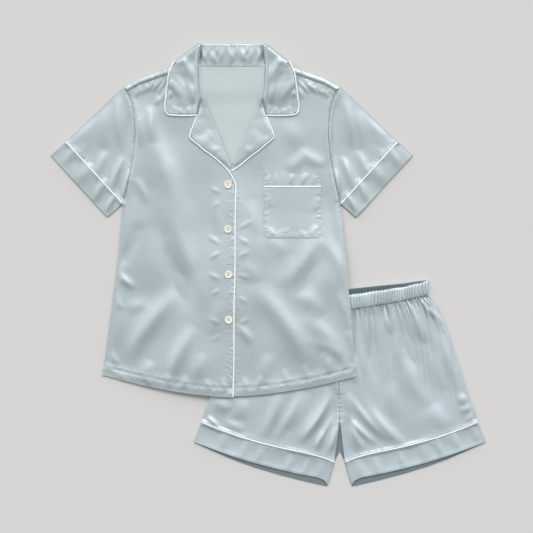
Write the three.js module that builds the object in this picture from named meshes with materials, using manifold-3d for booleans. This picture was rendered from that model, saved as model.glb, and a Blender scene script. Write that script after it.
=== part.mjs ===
// A two-piece pyjama set in satin, laid flat: a short-sleeved shirt with a notched collar, its hem over one
// side of a pair of shorts with an elastic waist. Millimetres, +Z up, collar towards +Y, wearer's right at -X.
// Every piece is given in its garment's own plan: x from the centre line, drop down from the top edge.
import * as THREE from "three";
import { mergeVertices } from "three/addons/utils/BufferGeometryUtils.js";
import Module from "manifold-3d";

const manifold = await Module();
manifold.setup();

// Driving sizes
const SHIRT = { x: -70.4, y: 443 };
const SHORTS = { x: 145.2, y: -30.2 };
const CLOTH = 1;
const SEAM = 0.3;
const LAYER = CLOTH + SEAM;
const PIPING_RADIUS = 1.3;
const PIPING_SIDES = 5;
const PIPING_ROOM = PIPING_RADIUS + SEAM;
const SIDE_PUFF = 2;
const PUFF_REACH = 14;
const FOLD_INSET = 1.3;
const ELASTIC = 2.2;
const RIB = 0.7;
const RIBS_A_LAYER = 70;
const GATHERS_A_LEG = 12;
const BUTTON_RADIUS = 8;
const BUTTON_THICKNESS = 2.6;

const SATIN = new THREE.MeshStandardMaterial({ color: 0xb4c3c9, roughness: 0.42, metalness: 0.2 });
const PIPING = new THREE.MeshStandardMaterial({ color: 0xf2f4f4, roughness: 0.5 });
const SHELL = new THREE.MeshStandardMaterial({ color: 0xebe2d0, roughness: 0.3 });

// A table: one row for each section, point or fold, its columns named in order.
function table(columns, rows) {
  const names = columns.split(" ");
  return rows.map((row) => Object.fromEntries(names.map((name, i) => [name, row[i]])));
}

const mix = (a, b, t) => a + (b - a) * t;
const between = (a, b, t) => ({ x: mix(a.x, b.x, t), drop: mix(a.drop, b.drop, t) });
const ease = (from, to, value) => THREE.MathUtils.smoothstep(value, from, to);
const steps = (count) => Array.from({ length: count + 1 }, (_, i) => i / count);

// The value of one column where another column has the wanted value.
function lookUp(rows, column, wanted, result) {
  const last = rows.length - 1;
  let i = 1;
  while (i < last && rows[i][column] < wanted) i += 1;
  const t = (wanted - rows[i - 1][column]) / (rows[i][column] - rows[i - 1][column]);
  return mix(rows[i - 1][result], rows[i][result], THREE.MathUtils.clamp(t, 0, 1));
}

// Points at even steps of length along straight stretches between the rows of a table.
function evenPoints(rows, count) {
  const lengths = rows.slice(1).map((row, i) => Math.hypot(row.x - rows[i].x, row.drop - rows[i].drop));
  const total = lengths.reduce((sum, length) => sum + length, 0);
  return steps(count).map((t) => {
    let left = t * total;
    let i = 0;
    while (i < lengths.length - 1 && left > lengths[i]) {
      left -= lengths[i];
      i += 1;
    }
    return between(rows[i], rows[i + 1], left / lengths[i]);
  });
}

function distanceToLine(rows, x, drop) {
  let nearest = Infinity;
  for (let i = 1; i < rows.length; i += 1) {
    const a = rows[i - 1];
    const b = rows[i];
    const dx = b.x - a.x;
    const dd = b.drop - a.drop;
    const along = ((x - a.x) * dx + (drop - a.drop) * dd) / (dx * dx + dd * dd);
    const t = THREE.MathUtils.clamp(along, 0, 1);
    nearest = Math.min(nearest, Math.hypot(x - a.x - t * dx, drop - a.drop - t * dd));
  }
  return nearest;
}

// A quarter-ellipse rise from a folded or sewn edge to the flat of a layer.
function puff(distance) {
  const t = Math.min(distance / PUFF_REACH, 1);
  return SIDE_PUFF * Math.sqrt(1 - (1 - t) ** 2);
}

// Soft ridges and troughs: each is bell-shaped across its heading and fades out along it.
function foldHeight(folds, x, drop) {
  let sum = 0;
  for (const fold of folds) {
    const angle = THREE.MathUtils.degToRad(fold.heading);
    const along = (x - fold.x) * Math.cos(angle) + (drop - fold.drop) * Math.sin(angle);
    const t = along / (fold.length / 2);
    if (Math.abs(t) >= 1) continue;
    const side = (drop - fold.drop) * Math.cos(angle) - (x - fold.x) * Math.sin(angle);
    const across = (side - fold.bend * t * t) / (fold.width / 2);
    sum += fold.height * (1 - t * t) * Math.exp(-across * across);
  }
  return sum;
}

const placeOn = (garment) => (x, drop, z) => new THREE.Vector3(garment.x + x, garment.y - drop, z);
const onShirt = placeOn(SHIRT);
const onShorts = placeOn(SHORTS);

// A closed wall between two grids of points. Around a tube its last column joins the first.
function wall(outer, inner, around = false) {
  const rows = outer.length;
  const columns = outer[0].length;
  const points = [...outer.flat(), ...inner.flat()];
  const at = (layer, row, column) => (layer * rows + row) * columns + (column % columns);
  const faces = [];
  const quad = (a, b, c, d) => faces.push([a, b, c], [a, c, d]);
  const spans = around ? columns : columns - 1;
  const end = rows - 1;
  for (let c = 0; c < spans; c += 1) {
    for (let r = 0; r < end; r += 1) {
      quad(at(0, r, c), at(0, r, c + 1), at(0, r + 1, c + 1), at(0, r + 1, c));
      quad(at(1, r, c), at(1, r + 1, c), at(1, r + 1, c + 1), at(1, r, c + 1));
    }
    quad(at(1, 0, c), at(1, 0, c + 1), at(0, 0, c + 1), at(0, 0, c));
    quad(at(0, end, c), at(0, end, c + 1), at(1, end, c + 1), at(1, end, c));
  }
  for (let r = 0; r < end && !around; r += 1) {
    quad(at(0, r, 0), at(0, r + 1, 0), at(1, r + 1, 0), at(1, r, 0));
    quad(at(1, r, spans), at(1, r + 1, spans), at(0, r + 1, spans), at(0, r, spans));
  }
  const volume = faces.reduce((sum, [a, b, c]) => sum + points[a].dot(points[b].clone().cross(points[c])), 0);
  if (volume < 0) faces.forEach((face) => face.reverse());
  const geometry = new THREE.BufferGeometry().setFromPoints(points);
  geometry.setIndex(faces.flat());
  return geometry;
}

// A cloth wall over a grid of plan points, its underside at height(x, drop).
function slab(grid, height, place, thickness = CLOTH) {
  const level = (up) => grid.map((row) => row.map((p) => place(p.x, p.drop, height(p.x, p.drop) + up)));
  return wall(level(thickness), level(0));
}

// A cloth wall to both sides of a middle surface that may turn over on itself.
function shell(middle) {
  const rows = middle.length;
  const columns = middle[0].length;
  const pick = (r, c) =>
    middle[THREE.MathUtils.clamp(r, 0, rows - 1)][THREE.MathUtils.clamp(c, 0, columns - 1)];
  const side = (reach) =>
    middle.map((row, r) =>
      row.map((point, c) => {
        const along = pick(r + 1, c).clone().sub(pick(r - 1, c));
        const across = pick(r, c + 1).clone().sub(pick(r, c - 1));
        return point.clone().addScaledVector(along.cross(across).normalize(), reach);
      }),
    );
  return wall(side(CLOTH / 2), side(-CLOTH / 2));
}

// A four-sided piece filled from its edges: a Coons patch of plan points, its columns at the parts given by
// across and its rows at the parts given by down.
function patch(top, bottom, left, right, across = steps(top.length - 1), down = steps(left.length - 1)) {
  const last = top.length - 1;
  const fill = (key, u, v, r, c) =>
    mix(top[c][key], bottom[c][key], v) +
    mix(left[r][key], right[r][key], u) -
    mix(mix(top[0][key], top[last][key], u), mix(bottom[0][key], bottom[last][key], u), v);
  return down.map((v, r) =>
    across.map((u, c) => ({ x: fill("x", u, v, r, c), drop: fill("drop", u, v, r, c) })),
  );
}

// A flattened tube of cloth with its back layer on the bed and its front layer at front(x, drop).
// Each station is a function from 0 at one folded side to 1 at the other.
function flatTube(stations, columns, bed, front, place) {
  const outer = [];
  const inner = [];
  for (const station of stations) {
    const a = station(0);
    const b = station(1);
    const inset = FOLD_INSET / Math.hypot(b.x - a.x, b.drop - a.drop);
    const inward = (CLOTH / FOLD_INSET) * inset;
    const crossing = (count) => steps(count).map((t) => station(mix(inset, 1 - inset, t)));
    const ring = (sideA, sideB, up, down) => [
      place(sideA.x, sideA.drop, bed(sideA.x, sideA.drop) + LAYER),
      ...crossing(columns.front).map((p) => place(p.x, p.drop, front(p.x, p.drop) + up)),
      place(sideB.x, sideB.drop, bed(sideB.x, sideB.drop) + LAYER),
      ...crossing(columns.back)
        .reverse()
        .map((p) => place(p.x, p.drop, bed(p.x, p.drop) + down)),
    ];
    outer.push(ring(a, b, CLOTH, 0));
    inner.push(ring(station(inward), station(1 - inward), 0, CLOTH));
  }
  return wall(outer, inner, true);
}

// A path that is read at its own points, so that a tube may turn sharply between long straight steps.
class PointPath extends THREE.CatmullRomCurve3 {
  getPointAt(t, target) {
    return this.getPoint(t, target);
  }

  getTangentAt(t, target) {
    return this.getTangent(t, target);
  }
}

// A round cord of piping through the given points, with closed ends.
function cordAlong(points) {
  const rim = steps(PIPING_SIDES)
    .slice(0, PIPING_SIDES)
    .map((t) => new THREE.Vector2(Math.cos(2 * Math.PI * t), Math.sin(2 * Math.PI * t)));
  const section = new THREE.Shape(rim.map((p) => p.multiplyScalar(PIPING_RADIUS)));
  const path = new PointPath(points, false, "centripetal");
  return new THREE.ExtrudeGeometry(section, { steps: points.length - 1, extrudePath: path });
}

function solidOf(geometry) {
  const bare = new THREE.BufferGeometry().setAttribute("position", geometry.getAttribute("position"));
  bare.setIndex(geometry.index);
  const merged = mergeVertices(bare, 1e-3);
  const mesh = { numProp: 3, vertProperties: merged.attributes.position.array };
  return new manifold.Manifold(new manifold.Mesh({ ...mesh, triVerts: new Uint32Array(merged.index.array) }));
}

function geometryOf(solid) {
  const mesh = solid.getMesh();
  const geometry = new THREE.BufferGeometry();
  geometry.setAttribute("position", new THREE.BufferAttribute(mesh.vertProperties, 3));
  return geometry.setIndex(new THREE.BufferAttribute(mesh.triVerts, 1));
}

const joined = (geometries) =>
  geometryOf(geometries.map(solidOf).reduce((whole, piece) => whole.add(piece)));

// Outlines of the shirt. Rows without a side are the same, mirrored, on both sides.
const SHOULDER = table("x drop", [
  [60, 24.5],
  [125, 48.8],
  [185, 70],
  [217, 88],
  [334, 197],
  [362, 221],
]);
const SHOULDER_SEAM_SET = 13;
const NECK_X = 69.2;
const ARMHOLE = table("x drop", [
  [215.5, 87],
  [207.5, 101.5],
  [203, 110],
  [199.4, 120],
  [196.2, 135],
  [194, 154],
  [192.8, 170],
  [192.8, 187],
  [194.6, 208],
  [198, 232],
  [202.6, 258],
  [208.4, 286],
  [214.6, 312],
]);
const ARMHOLE_GAP = 1;
const SIDE_SEAM = table("drop right left", [
  [320, 217, 216],
  [385, 223, 222.6],
  [447, 228.8, 230],
  [498, 235.8, 234],
  [554, 243, 239],
  [626, 252.8, 245],
  [664, 258.4, 248],
]);
const HEM_DEPTH = 43;
const CUFF = { topX: 331.5, topDrop: 196.8, lowX: 217.6, lowDrop: 321.4, depth: 40 };
const CUFF_WAY = { x: 0.752, drop: 0.659 };
const BACK_NECK_DROP = 45.6;
const BACK_NECK_DIP = 1.6;
const NECK_EDGE = table("x drop", [
  [NECK_X, 40.5],
  [69.4, 81],
  [66.4, 100],
  [60.8, 110],
]);

// The V of the neck: where each front turns over at its roll edge.
const V_LINE = table("x drop", [
  [61, 100],
  [57.6, 108],
  [0.8, 244.6],
]);
const V_SET = { x: 1.66, drop: 0.69 };
const LEFT_V_END = 235;
const RIGHT_FRONT_EDGE = table("x drop", [
  [-0.8 - V_SET.x, 244.6 + V_SET.drop],
  [-1.4, 262],
  [4.9, 283],
  [6.1, 311],
  [3.5, 500],
  [1, 706.8],
]);
const LEFT_FRONT_EDGE = table("x drop", [
  [4.8 + V_SET.x, LEFT_V_END + V_SET.drop],
  [-8, 262],
  [-20.6, 292],
  [-20.6, 704],
]);

const shoulderDrop = (x) => lookUp(SHOULDER, "x", Math.abs(x), "drop");
const hemDrop = (x) => 664 + HEM_DEPTH * (1 - Math.min(Math.abs(x) / 253, 1) ** 1.7);

const signOf = (side) => (side === "right" ? -1 : 1);
const mirrored = (rows, side) => rows.map((row) => ({ ...row, x: row.x * signOf(side) }));

function sideLine(side) {
  return SIDE_SEAM.map((row) => ({ x: signOf(side) * row[side], drop: row.drop }));
}

function cuffPoint(t, reach) {
  return {
    x: mix(CUFF.topX, CUFF.lowX, t) + CUFF_WAY.x * reach,
    drop: mix(CUFF.topDrop, CUFF.lowDrop, t) + CUFF_WAY.drop * reach,
  };
}

// Heights on the shirt. The bed is what the back panel lies on: the table, the shorts, or the collar's fall.
const SHORTS_UNDER = table("x drop", [
  [-178, 0],
  [-60, 10],
  [60, 10],
  [178, 0],
  [244, 190],
  [292, 322],
  [30, 410],
  [-30, 410],
  [-292, 322],
  [-244, 190],
  [-178, 0],
]);
const SHORTS_RISE = 7.4;
const SHORTS_SLOPE = 86;
const COLLAR_RISE = 2.9;
const COLLAR_FLAT = 25;
const COLLAR_SLOPE = 62;
const FALL_EDGE = { x: 66, drop: 64.5, outX: 115, outDrop: 40 };

function insideShorts(x, drop) {
  let inside = false;
  for (let i = 1; i < SHORTS_UNDER.length; i += 1) {
    const a = SHORTS_UNDER[i - 1];
    const b = SHORTS_UNDER[i];
    const crosses = a.drop > drop !== b.drop > drop;
    if (crosses && x < a.x + ((drop - a.drop) / (b.drop - a.drop)) * (b.x - a.x)) inside = !inside;
  }
  return inside;
}

function shirtBed(x, drop) {
  const shortsX = x + SHIRT.x - SHORTS.x;
  const shortsDrop = drop - SHIRT.y + SHORTS.y;
  const away = insideShorts(shortsX, shortsDrop) ? 0 : distanceToLine(SHORTS_UNDER, shortsX, shortsDrop);
  const overShorts = SHORTS_RISE * (1 - ease(2, SHORTS_SLOPE, away));
  const beyond = THREE.MathUtils.inverseLerp(FALL_EDGE.x, FALL_EDGE.outX, Math.abs(x));
  const fallDrop = mix(FALL_EDGE.drop, FALL_EDGE.outDrop, THREE.MathUtils.clamp(beyond, 0, 1));
  const past = Math.max(drop - fallDrop, 0) + Math.max(Math.abs(x) - FALL_EDGE.outX, 0);
  return overShorts + COLLAR_RISE * (1 - ease(COLLAR_FLAT, COLLAR_SLOPE, past));
}

// The shirt's largest folds. Heading 0 runs to the wearer's left, 90 down the body.
const SHIRT_FOLDS = table("x drop length heading width height bend", [
  [-150, 250, 190, 62, 44, 2.2, 6],
  [-96, 330, 240, 70, 50, 2.6, -8],
  [-178, 400, 230, 98, 40, 2, 6],
  [-120, 520, 250, 100, 56, 2.8, 10],
  [-60, 600, 170, 74, 44, 2, 4],
  [-206, 570, 170, 104, 38, 2.2, -5],
  [-30, 470, 190, 84, 40, 1.4, 5],
  [-164, 170, 90, 40, 34, 1.6, 4],
  [-150, 110, 90, 132, 24, 1.5, 3],
  [-268, 190, 130, 58, 30, 2.4, 5],
  [-300, 225, 100, 46, 24, 1.8, -3],
  [-232, 220, 130, 84, 34, 1.8, 6],
  [-330, 250, 60, 40, 20, 1.4, 2],
  [150, 230, 150, 112, 40, 1.6, -5],
  [178, 470, 220, 104, 44, 2.4, -8],
  [100, 480, 210, 116, 52, 2.6, 8],
  [60, 590, 190, 104, 44, 2.2, 6],
  [140, 600, 170, 128, 40, 2, -5],
  [206, 560, 170, 96, 34, 1.8, 5],
  [40, 400, 180, 96, 40, 1.4, -5],
  [164, 170, 90, 140, 34, 1.6, -4],
  [150, 110, 90, 48, 24, 1.5, -3],
  [262, 180, 120, 120, 30, 2.4, -5],
  [296, 220, 100, 134, 24, 1.8, 3],
  [228, 230, 130, 98, 34, 1.8, -6],
  [328, 250, 60, 140, 20, 1.4, -2],
  [-90, 180, 120, 120, 36, 0.9, 3],
  [96, 190, 120, 60, 36, 0.9, -3],
]);
const CUFF_RIDGE = 1.8;
const RIDGE_REACH = 9;
const SIDE_LINES = [
  SHOULDER,
  [{ x: CUFF.lowX, drop: CUFF.lowDrop }, cuffPoint(1, CUFF.depth)],
  [{ x: CUFF.lowX, drop: CUFF.lowDrop }, ...sideLine("left").slice(1)],
];
const CUFF_LINE = [cuffPoint(0, 0), cuffPoint(1, 0)];

const ridge = (distance, rise) => rise * (1 - ease(RIDGE_REACH / 3, RIDGE_REACH, distance));

// The underside of the shirt's front layer.
function shirtFront(x, drop) {
  const away = Math.abs(x);
  const edge = Math.min(...SIDE_LINES.map((line) => distanceToLine(line, away, drop)));
  const soft = puff(edge) + foldHeight(SHIRT_FOLDS, x, drop) * ease(0, PUFF_REACH, edge);
  return shirtBed(x, drop) + LAYER + Math.max(soft, ridge(distanceToLine(CUFF_LINE, away, drop), CUFF_RIDGE));
}

// The right front laps over the left, so it steps up a layer near the buttons.
const LAP = { from: -42, to: -24, rise: LAYER + 0.45 };
const rightFront = (x, drop) => shirtFront(x, drop) + LAP.rise * ease(LAP.from, LAP.to, x);
const FRONT_HEIGHTS = { right: rightFront, left: shirtFront };

// The underside of what lies on a layer: clear of its highest point within reach.
const AROUND = [
  [0, 0],
  [1, 0],
  [-1, 0],
  [0, 1],
  [0, -1],
];
const lying = (height, x, drop, reach) =>
  Math.max(...AROUND.map(([i, j]) => height(x + i * reach, drop + j * reach))) + LAYER;
const LYING_REACH = 7;

const group = new THREE.Group();
function add(name, geometry, material) {
  const mesh = new THREE.Mesh(geometry, material);
  mesh.name = name;
  group.add(mesh);
}

const BODY_ROWS = 24;
const SHOULDER_STEPS = 10;
const shoulderSeamX = () => steps(SHOULDER_STEPS).map((t) => mix(NECK_X, ARMHOLE[1].x - SEAM, t));

// The outer edge that front and back share, from the shoulder seam down to the hem.
function armholeAndSide(side) {
  const points = evenPoints([...mirrored(ARMHOLE.slice(1), side), ...sideLine(side)], BODY_ROWS);
  points[BODY_ROWS].drop = hemDrop(points[BODY_ROWS].x);
  return points;
}

function frontPanel(side) {
  const sign = signOf(side);
  const edgeBelow = side === "right" ? RIGHT_FRONT_EDGE : LEFT_FRONT_EDGE;
  const inner = evenPoints([...mirrored(NECK_EDGE, side), ...edgeBelow], BODY_ROWS);
  const outer = armholeAndSide(side);
  const top = shoulderSeamX().map((x) => ({ x: sign * x, drop: shoulderDrop(x) + SHOULDER_SEAM_SET + SEAM }));
  const bottom = steps(SHOULDER_STEPS).map((t) => {
    const x = mix(inner[BODY_ROWS].x, outer[BODY_ROWS].x, t);
    return { x, drop: hemDrop(x) };
  });
  inner[0] = top[0];
  outer[0] = top[SHOULDER_STEPS];
  inner[BODY_ROWS] = bottom[0];
  return slab(patch(top, bottom, inner, outer), FRONT_HEIGHTS[side], onShirt);
}

// The back panel, with a strip on each shoulder that wraps forward to the shoulder seam.
const BACK_COLUMNS = [-1, -0.78, -0.54, -0.329, -0.322, -0.16, 0, 0.16, 0.322, 0.329, 0.54, 0.78, 1];
const WRAP_OVERLAP = 3;
const WRAP_END_SET = 1.6;
const TURN = [0, 0.25, 0.5, 0.75, 1];

function backPanel() {
  const halfTop = ARMHOLE[0].x - WRAP_END_SET - CLOTH;
  const top = BACK_COLUMNS.map((u) => {
    const x = u * halfTop;
    const scoop = BACK_NECK_DROP + BACK_NECK_DIP * (1 - (x / NECK_X) ** 2);
    return { x, drop: Math.abs(x) < NECK_X ? scoop : shoulderDrop(x) + WRAP_OVERLAP };
  });
  const right = [top[0], ...armholeAndSide("right")];
  const left = [top[top.length - 1], ...armholeAndSide("left")];
  const bottom = BACK_COLUMNS.map((u) => {
    const x = mix(right[right.length - 1].x, left[left.length - 1].x, (u + 1) / 2);
    return { x, drop: hemDrop(x) };
  });
  const across = BACK_COLUMNS.map((u) => (u + 1) / 2);
  return slab(patch(top, bottom, right, left, across), shirtBed, onShirt);
}

function shoulderWrap(side) {
  const sign = signOf(side);
  const stations = shoulderSeamX().map((seamX, i) => {
    const foldX = mix(NECK_X, ARMHOLE[0].x - WRAP_END_SET, i / SHOULDER_STEPS);
    const drop = shoulderDrop(foldX);
    const lower = shirtBed(foldX, drop) + CLOTH / 2;
    const upper = shirtFront(seamX, shoulderDrop(seamX) + SHOULDER_SEAM_SET) + CLOTH / 2;
    const radius = (upper - lower) / 2;
    const turn = TURN.map((part) => {
      const angle = Math.PI * part;
      const out = radius * (1 - Math.sin(angle));
      return [foldX, drop + CLOTH / 2 + out, lower + radius * (1 - Math.cos(angle))];
    });
    return [
      [foldX, drop + 2 * WRAP_OVERLAP, lower],
      ...turn,
      [seamX, shoulderDrop(seamX) + SHOULDER_SEAM_SET, upper],
    ].map(([x, d, z]) => onShirt(sign * x, d, z));
  });
  return shell(stations);
}

// Sleeves run from the armhole to the piping, cuffs from the piping to their hem.
const SLEEVE_STATIONS = [0, 0.12, 0.3, 0.5, 0.7, 0.88, 1];
const SLEEVE_COLUMNS = { front: 13, back: 6 };
const CUFF_COLUMNS = { front: 10, back: 4 };
const LINE_SAMPLES = 60;

// A function from 0 to 1 along the straight stretches between the rows of a table.
function along(rows) {
  const points = evenPoints(rows, LINE_SAMPLES);
  return (t) => {
    const i = Math.min(Math.floor(t * LINE_SAMPLES), LINE_SAMPLES - 1);
    return between(points[i], points[i + 1], t * LINE_SAMPLES - i);
  };
}

function sleeve(side) {
  const sign = signOf(side);
  const armAt = along(ARMHOLE.map((row) => ({ x: row.x + ARMHOLE_GAP, drop: row.drop })));
  const stations = SLEEVE_STATIONS.map((w) => (t) => {
    const p = between(armAt(t), cuffPoint(t, -PIPING_ROOM), w);
    return { x: sign * p.x, drop: p.drop };
  });
  return flatTube(stations, SLEEVE_COLUMNS, shirtBed, shirtFront, onShirt);
}

function cuff(side) {
  const sign = signOf(side);
  const stations = [PIPING_ROOM, CUFF.depth / 2, CUFF.depth].map((reach) => (t) => {
    const p = cuffPoint(t, reach);
    return { x: sign * p.x, drop: p.drop };
  });
  return flatTube(stations, CUFF_COLUMNS, shirtBed, shirtFront, onShirt);
}

// A ring of piping round a flattened tube: across the front, over both folded sides, and back beneath, where
// its two ends stop short of each other.
const PIPING_TURN = 2.3;
const ENDS_APART = 2;

function pipingRing(station, columns, bed, front, place) {
  const a = station(0);
  const b = station(1);
  const inset = PIPING_RADIUS / Math.hypot(b.x - a.x, b.drop - a.drop);
  const turn = PIPING_TURN * inset;
  const gap = ENDS_APART * inset;
  const overHeight = (t) => front(station(t).x, station(t).drop) + PIPING_RADIUS;
  const underHeight = (t) => bed(station(t).x, station(t).drop) + PIPING_RADIUS;
  const at = (t, z) => place(station(t).x, station(t).drop, z);
  const over = (t) => at(t, overHeight(t));
  const under = (t) => at(t, underHeight(t));
  const middle = (t, turned) => at(t, (overHeight(turned) + underHeight(turned)) / 2);
  return [
    ...steps(columns.back).map((t) => under(mix(0.5 - gap, turn * 2, t))),
    under(turn),
    middle(inset, turn),
    over(turn),
    over(turn * 2),
    ...steps(columns.front)
      .slice(1, -1)
      .map((t) => over(mix(turn, 1 - turn, t))),
    over(1 - turn * 2),
    over(1 - turn),
    middle(1 - inset, 1 - turn),
    under(1 - turn),
    ...steps(columns.back).map((t) => under(mix(1 - turn * 2, 0.5 + gap, t))),
  ];
}

const CUFF_PIPING_COLUMNS = { front: 10, back: 2 };

function cuffPiping(side) {
  const sign = signOf(side);
  const station = (t) => {
    const p = cuffPoint(t, 0);
    return { x: sign * p.x, drop: p.drop };
  };
  return cordAlong(pipingRing(station, CUFF_PIPING_COLUMNS, shirtBed, shirtFront, onShirt));
}

// Lapels: each row runs from the roll edge of the V to the piped outer edge.
const LAPEL = table("rollDrop edgeX edgeDrop", [
  [109, 62, 111],
  [120, 63.6, 121.4],
  [130, 67, 133.4],
  [139, 70.2, 146.6],
  [145, 76, 164],
  [151, 82.2, 181],
  [160, 83.2, 187],
  [170, 76.6, 194],
  [188, 54.8, 212.4],
  [208, 33.4, 229],
  [228, 15.8, 243.8],
]);
const RIGHT_LAPEL_END = table("rollDrop edgeX edgeDrop", [[243, 5.6, 256]]);
const LIP_SET = CLOTH / 2;
const LIP_DEPTH = 1.6;
const EDGE_SET = PIPING_ROOM + 0.7;
const LAPEL_COLUMNS = [0.12, 0.34, 0.56, 0.78, 1];

function lapel(side) {
  const sign = signOf(side);
  const height = FRONT_HEIGHTS[side];
  const rows = side === "right" ? [...LAPEL, ...RIGHT_LAPEL_END] : LAPEL;
  const middle = rows.map((row) => {
    const rollX = lookUp(V_LINE, "drop", row.rollDrop, "x");
    const width = Math.hypot(row.edgeX - rollX, row.edgeDrop - row.rollDrop);
    const roll = { x: rollX + LIP_SET, drop: row.rollDrop };
    const edge = between({ x: row.edgeX, drop: row.edgeDrop }, roll, EDGE_SET / width);
    const level = (p) => lying(height, sign * p.x, p.drop, LYING_REACH) + CLOTH / 2;
    const over = LAPEL_COLUMNS.map((t) => between(roll, edge, t));
    const lift = level(over[0]);
    return [
      onShirt(sign * roll.x, roll.drop, lift - LIP_DEPTH),
      onShirt(sign * roll.x, roll.drop, lift - CLOTH / 2),
      ...over.map((p) => onShirt(sign * p.x, p.drop, level(p))),
    ];
  });
  return shell(middle);
}

// The collar: each leaf lies on a front, turns under along a slanting fold and joins the fall behind the neck.
const LEAF = table("rollX rollDrop edgeX edgeDrop", [
  [68.4, 140.6, 123.8, 140.6],
  [66.8, 134, 129.2, 136.4],
  [62.6, 115, 131, 124.8],
  [64.8, 92, 127.6, 92],
  [66.2, 66, 123.6, 65],
  [66.8, 40, 119.2, 50],
]);
const GORGE_DROP = 112;
const LEAF_REACH = 13;
const LEAF_FOLD = { x: 67.2, drop: 0.4, outX: 113, outDrop: 35.6 };
const FALL_MIDDLE = 0.6;
const STAND_ROLL = 4.8;
const LEAF_COLUMNS = [0, 0.1, 0.26, 0.44, 0.62, 0.8, 1];
const FOOT_SET = 0.2;
const FOOT_END = FALL_EDGE.drop - 20;
const FALL_INNER = { x: FALL_EDGE.x - 2.6, drop: 5 };
const LEAF_LIP = 1.4;

function leafLevel(side, x, drop) {
  const front = (at, down) =>
    FRONT_HEIGHTS[side](signOf(side) * at, Math.max(down, shoulderDrop(at) + SHOULDER_SEAM_SET));
  return lying(front, x, drop, LEAF_REACH) + CLOTH / 2;
}

function collarLeaf(side) {
  const sign = signOf(side);
  const foldLength = Math.hypot(LEAF_FOLD.outX - LEAF_FOLD.x, LEAF_FOLD.outDrop - LEAF_FOLD.drop);
  const inward = {
    x: -(LEAF_FOLD.outDrop - LEAF_FOLD.drop) / foldLength,
    drop: (LEAF_FOLD.outX - LEAF_FOLD.x) / foldLength,
  };
  const grid = LEAF.map((row) => {
    const roll = { x: row.rollX + LIP_SET, drop: row.rollDrop };
    const over = LEAF_COLUMNS.map((p) => between(roll, { x: row.edgeX, drop: row.edgeDrop }, p));
    const points = over.map((p) => [p.x, p.drop, leafLevel(side, p.x, p.drop)]);
    const level = points[0][2];
    if (row.rollDrop > GORGE_DROP) return [[roll.x - CLOTH, roll.drop - LIP_SET, level], ...points];
    const foot = row.rollDrop < FOOT_END ? COLLAR_RISE + CLOTH + SEAM : level - 2 * CLOTH;
    return [[roll.x - FOOT_SET, roll.drop, foot], ...points];
  });
  for (const part of TURN) {
    const angle = Math.PI * part;
    const points = LEAF_COLUMNS.map((p) => {
      const x = mix(LEAF_FOLD.x, LEAF_FOLD.outX, p);
      const drop = mix(LEAF_FOLD.drop, LEAF_FOLD.outDrop, p);
      const radius = (leafLevel(side, x, drop) - FALL_MIDDLE) / 2;
      const back = LIP_SET + radius * (1 - Math.sin(angle));
      const z = FALL_MIDDLE + radius * (1 + Math.cos(angle));
      return [x + inward.x * back, drop + inward.drop * back, z];
    });
    const [x, drop, z] = points[0];
    grid.push([[x - LIP_DEPTH, drop + FOOT_SET, mix(z - LIP_DEPTH, z, part)], ...points]);
  }
  const turned = grid[grid.length - 1];
  for (const t of [0.5, 1]) {
    grid.push(
      turned.map(([x, drop], c) => {
        const p = c === 0 ? 0 : LEAF_COLUMNS[c - 1];
        const goal = mix(FALL_INNER.drop, FALL_EDGE.drop - EDGE_SET, p) - (c === 0 ? LEAF_LIP : 0);
        return [mix(x, FALL_INNER.x, t), mix(drop, goal, t), FALL_MIDDLE];
      }),
    );
  }
  return shell(grid.map((row) => row.map(([x, drop, z]) => onShirt(sign * x, drop, z))));
}

// Behind the neck the stand rises from the seam to the roll and the fall drops behind it, on the table.
const STAND_COLUMNS = 8;
const STAND_RISE = table("part height", [
  [0, 0],
  [0.35, 0.3],
  [0.7, 0.75],
]);
const FALL_OVERLAP = 0.5;

function collarBack() {
  const radius = (STAND_ROLL - FALL_MIDDLE) / 2;
  const seamZ = COLLAR_RISE + CLOTH / 2;
  const rollStart = CLOTH / 2 + radius;
  const half = FALL_EDGE.x + FALL_OVERLAP;
  const stations = steps(STAND_COLUMNS).map((t) => {
    const x = mix(-half, half, t);
    const seam = BACK_NECK_DROP - 2 * SEAM + BACK_NECK_DIP * (1 - (x / NECK_X) ** 2);
    const turn = TURN.map((part) => [
      rollStart - radius * Math.sin(Math.PI * part),
      FALL_MIDDLE + radius * (1 + Math.cos(Math.PI * part)),
    ]);
    const section = [
      ...STAND_RISE.map((row) => [mix(seam, rollStart, row.part), mix(seamZ, STAND_ROLL, row.height)]),
      ...turn,
      [mix(rollStart, FALL_EDGE.drop, 0.5), FALL_MIDDLE],
      [FALL_EDGE.drop - EDGE_SET, FALL_MIDDLE],
    ];
    return section.map(([drop, z]) => onShirt(x, drop, z));
  });
  return shell(stations);
}

// The collar's piping follows the leaf's outer edge, goes under at the fold and crosses behind the neck.
const LEAF_PIPING = table("x drop", [
  [69.6, 143.8],
  [84, 144.4],
  [98, 144.4],
  [112, 144],
  [122.6, 143.2],
  [128.6, 141],
  [132, 136.4],
  [133.6, 124.8],
  [131.8, 108],
  [130.2, 93],
  [128.2, 78],
  [126, 63],
  [122.2, 50],
  [119, 43.6],
]);

const PIPING_LOW = PIPING_RADIUS + 0.1;
const PIPING_TURNS = [0.15, 0.35, 0.5, 0.65, 0.85];
const TURN_SET = { x: 3, drop: 0.8 };
const TURN_WAY = { x: -0.3, drop: 0.9 };
const UNDER_START = { x: FALL_EDGE.outX - 2, drop: FALL_EDGE.outDrop + 3.6 };

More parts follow.
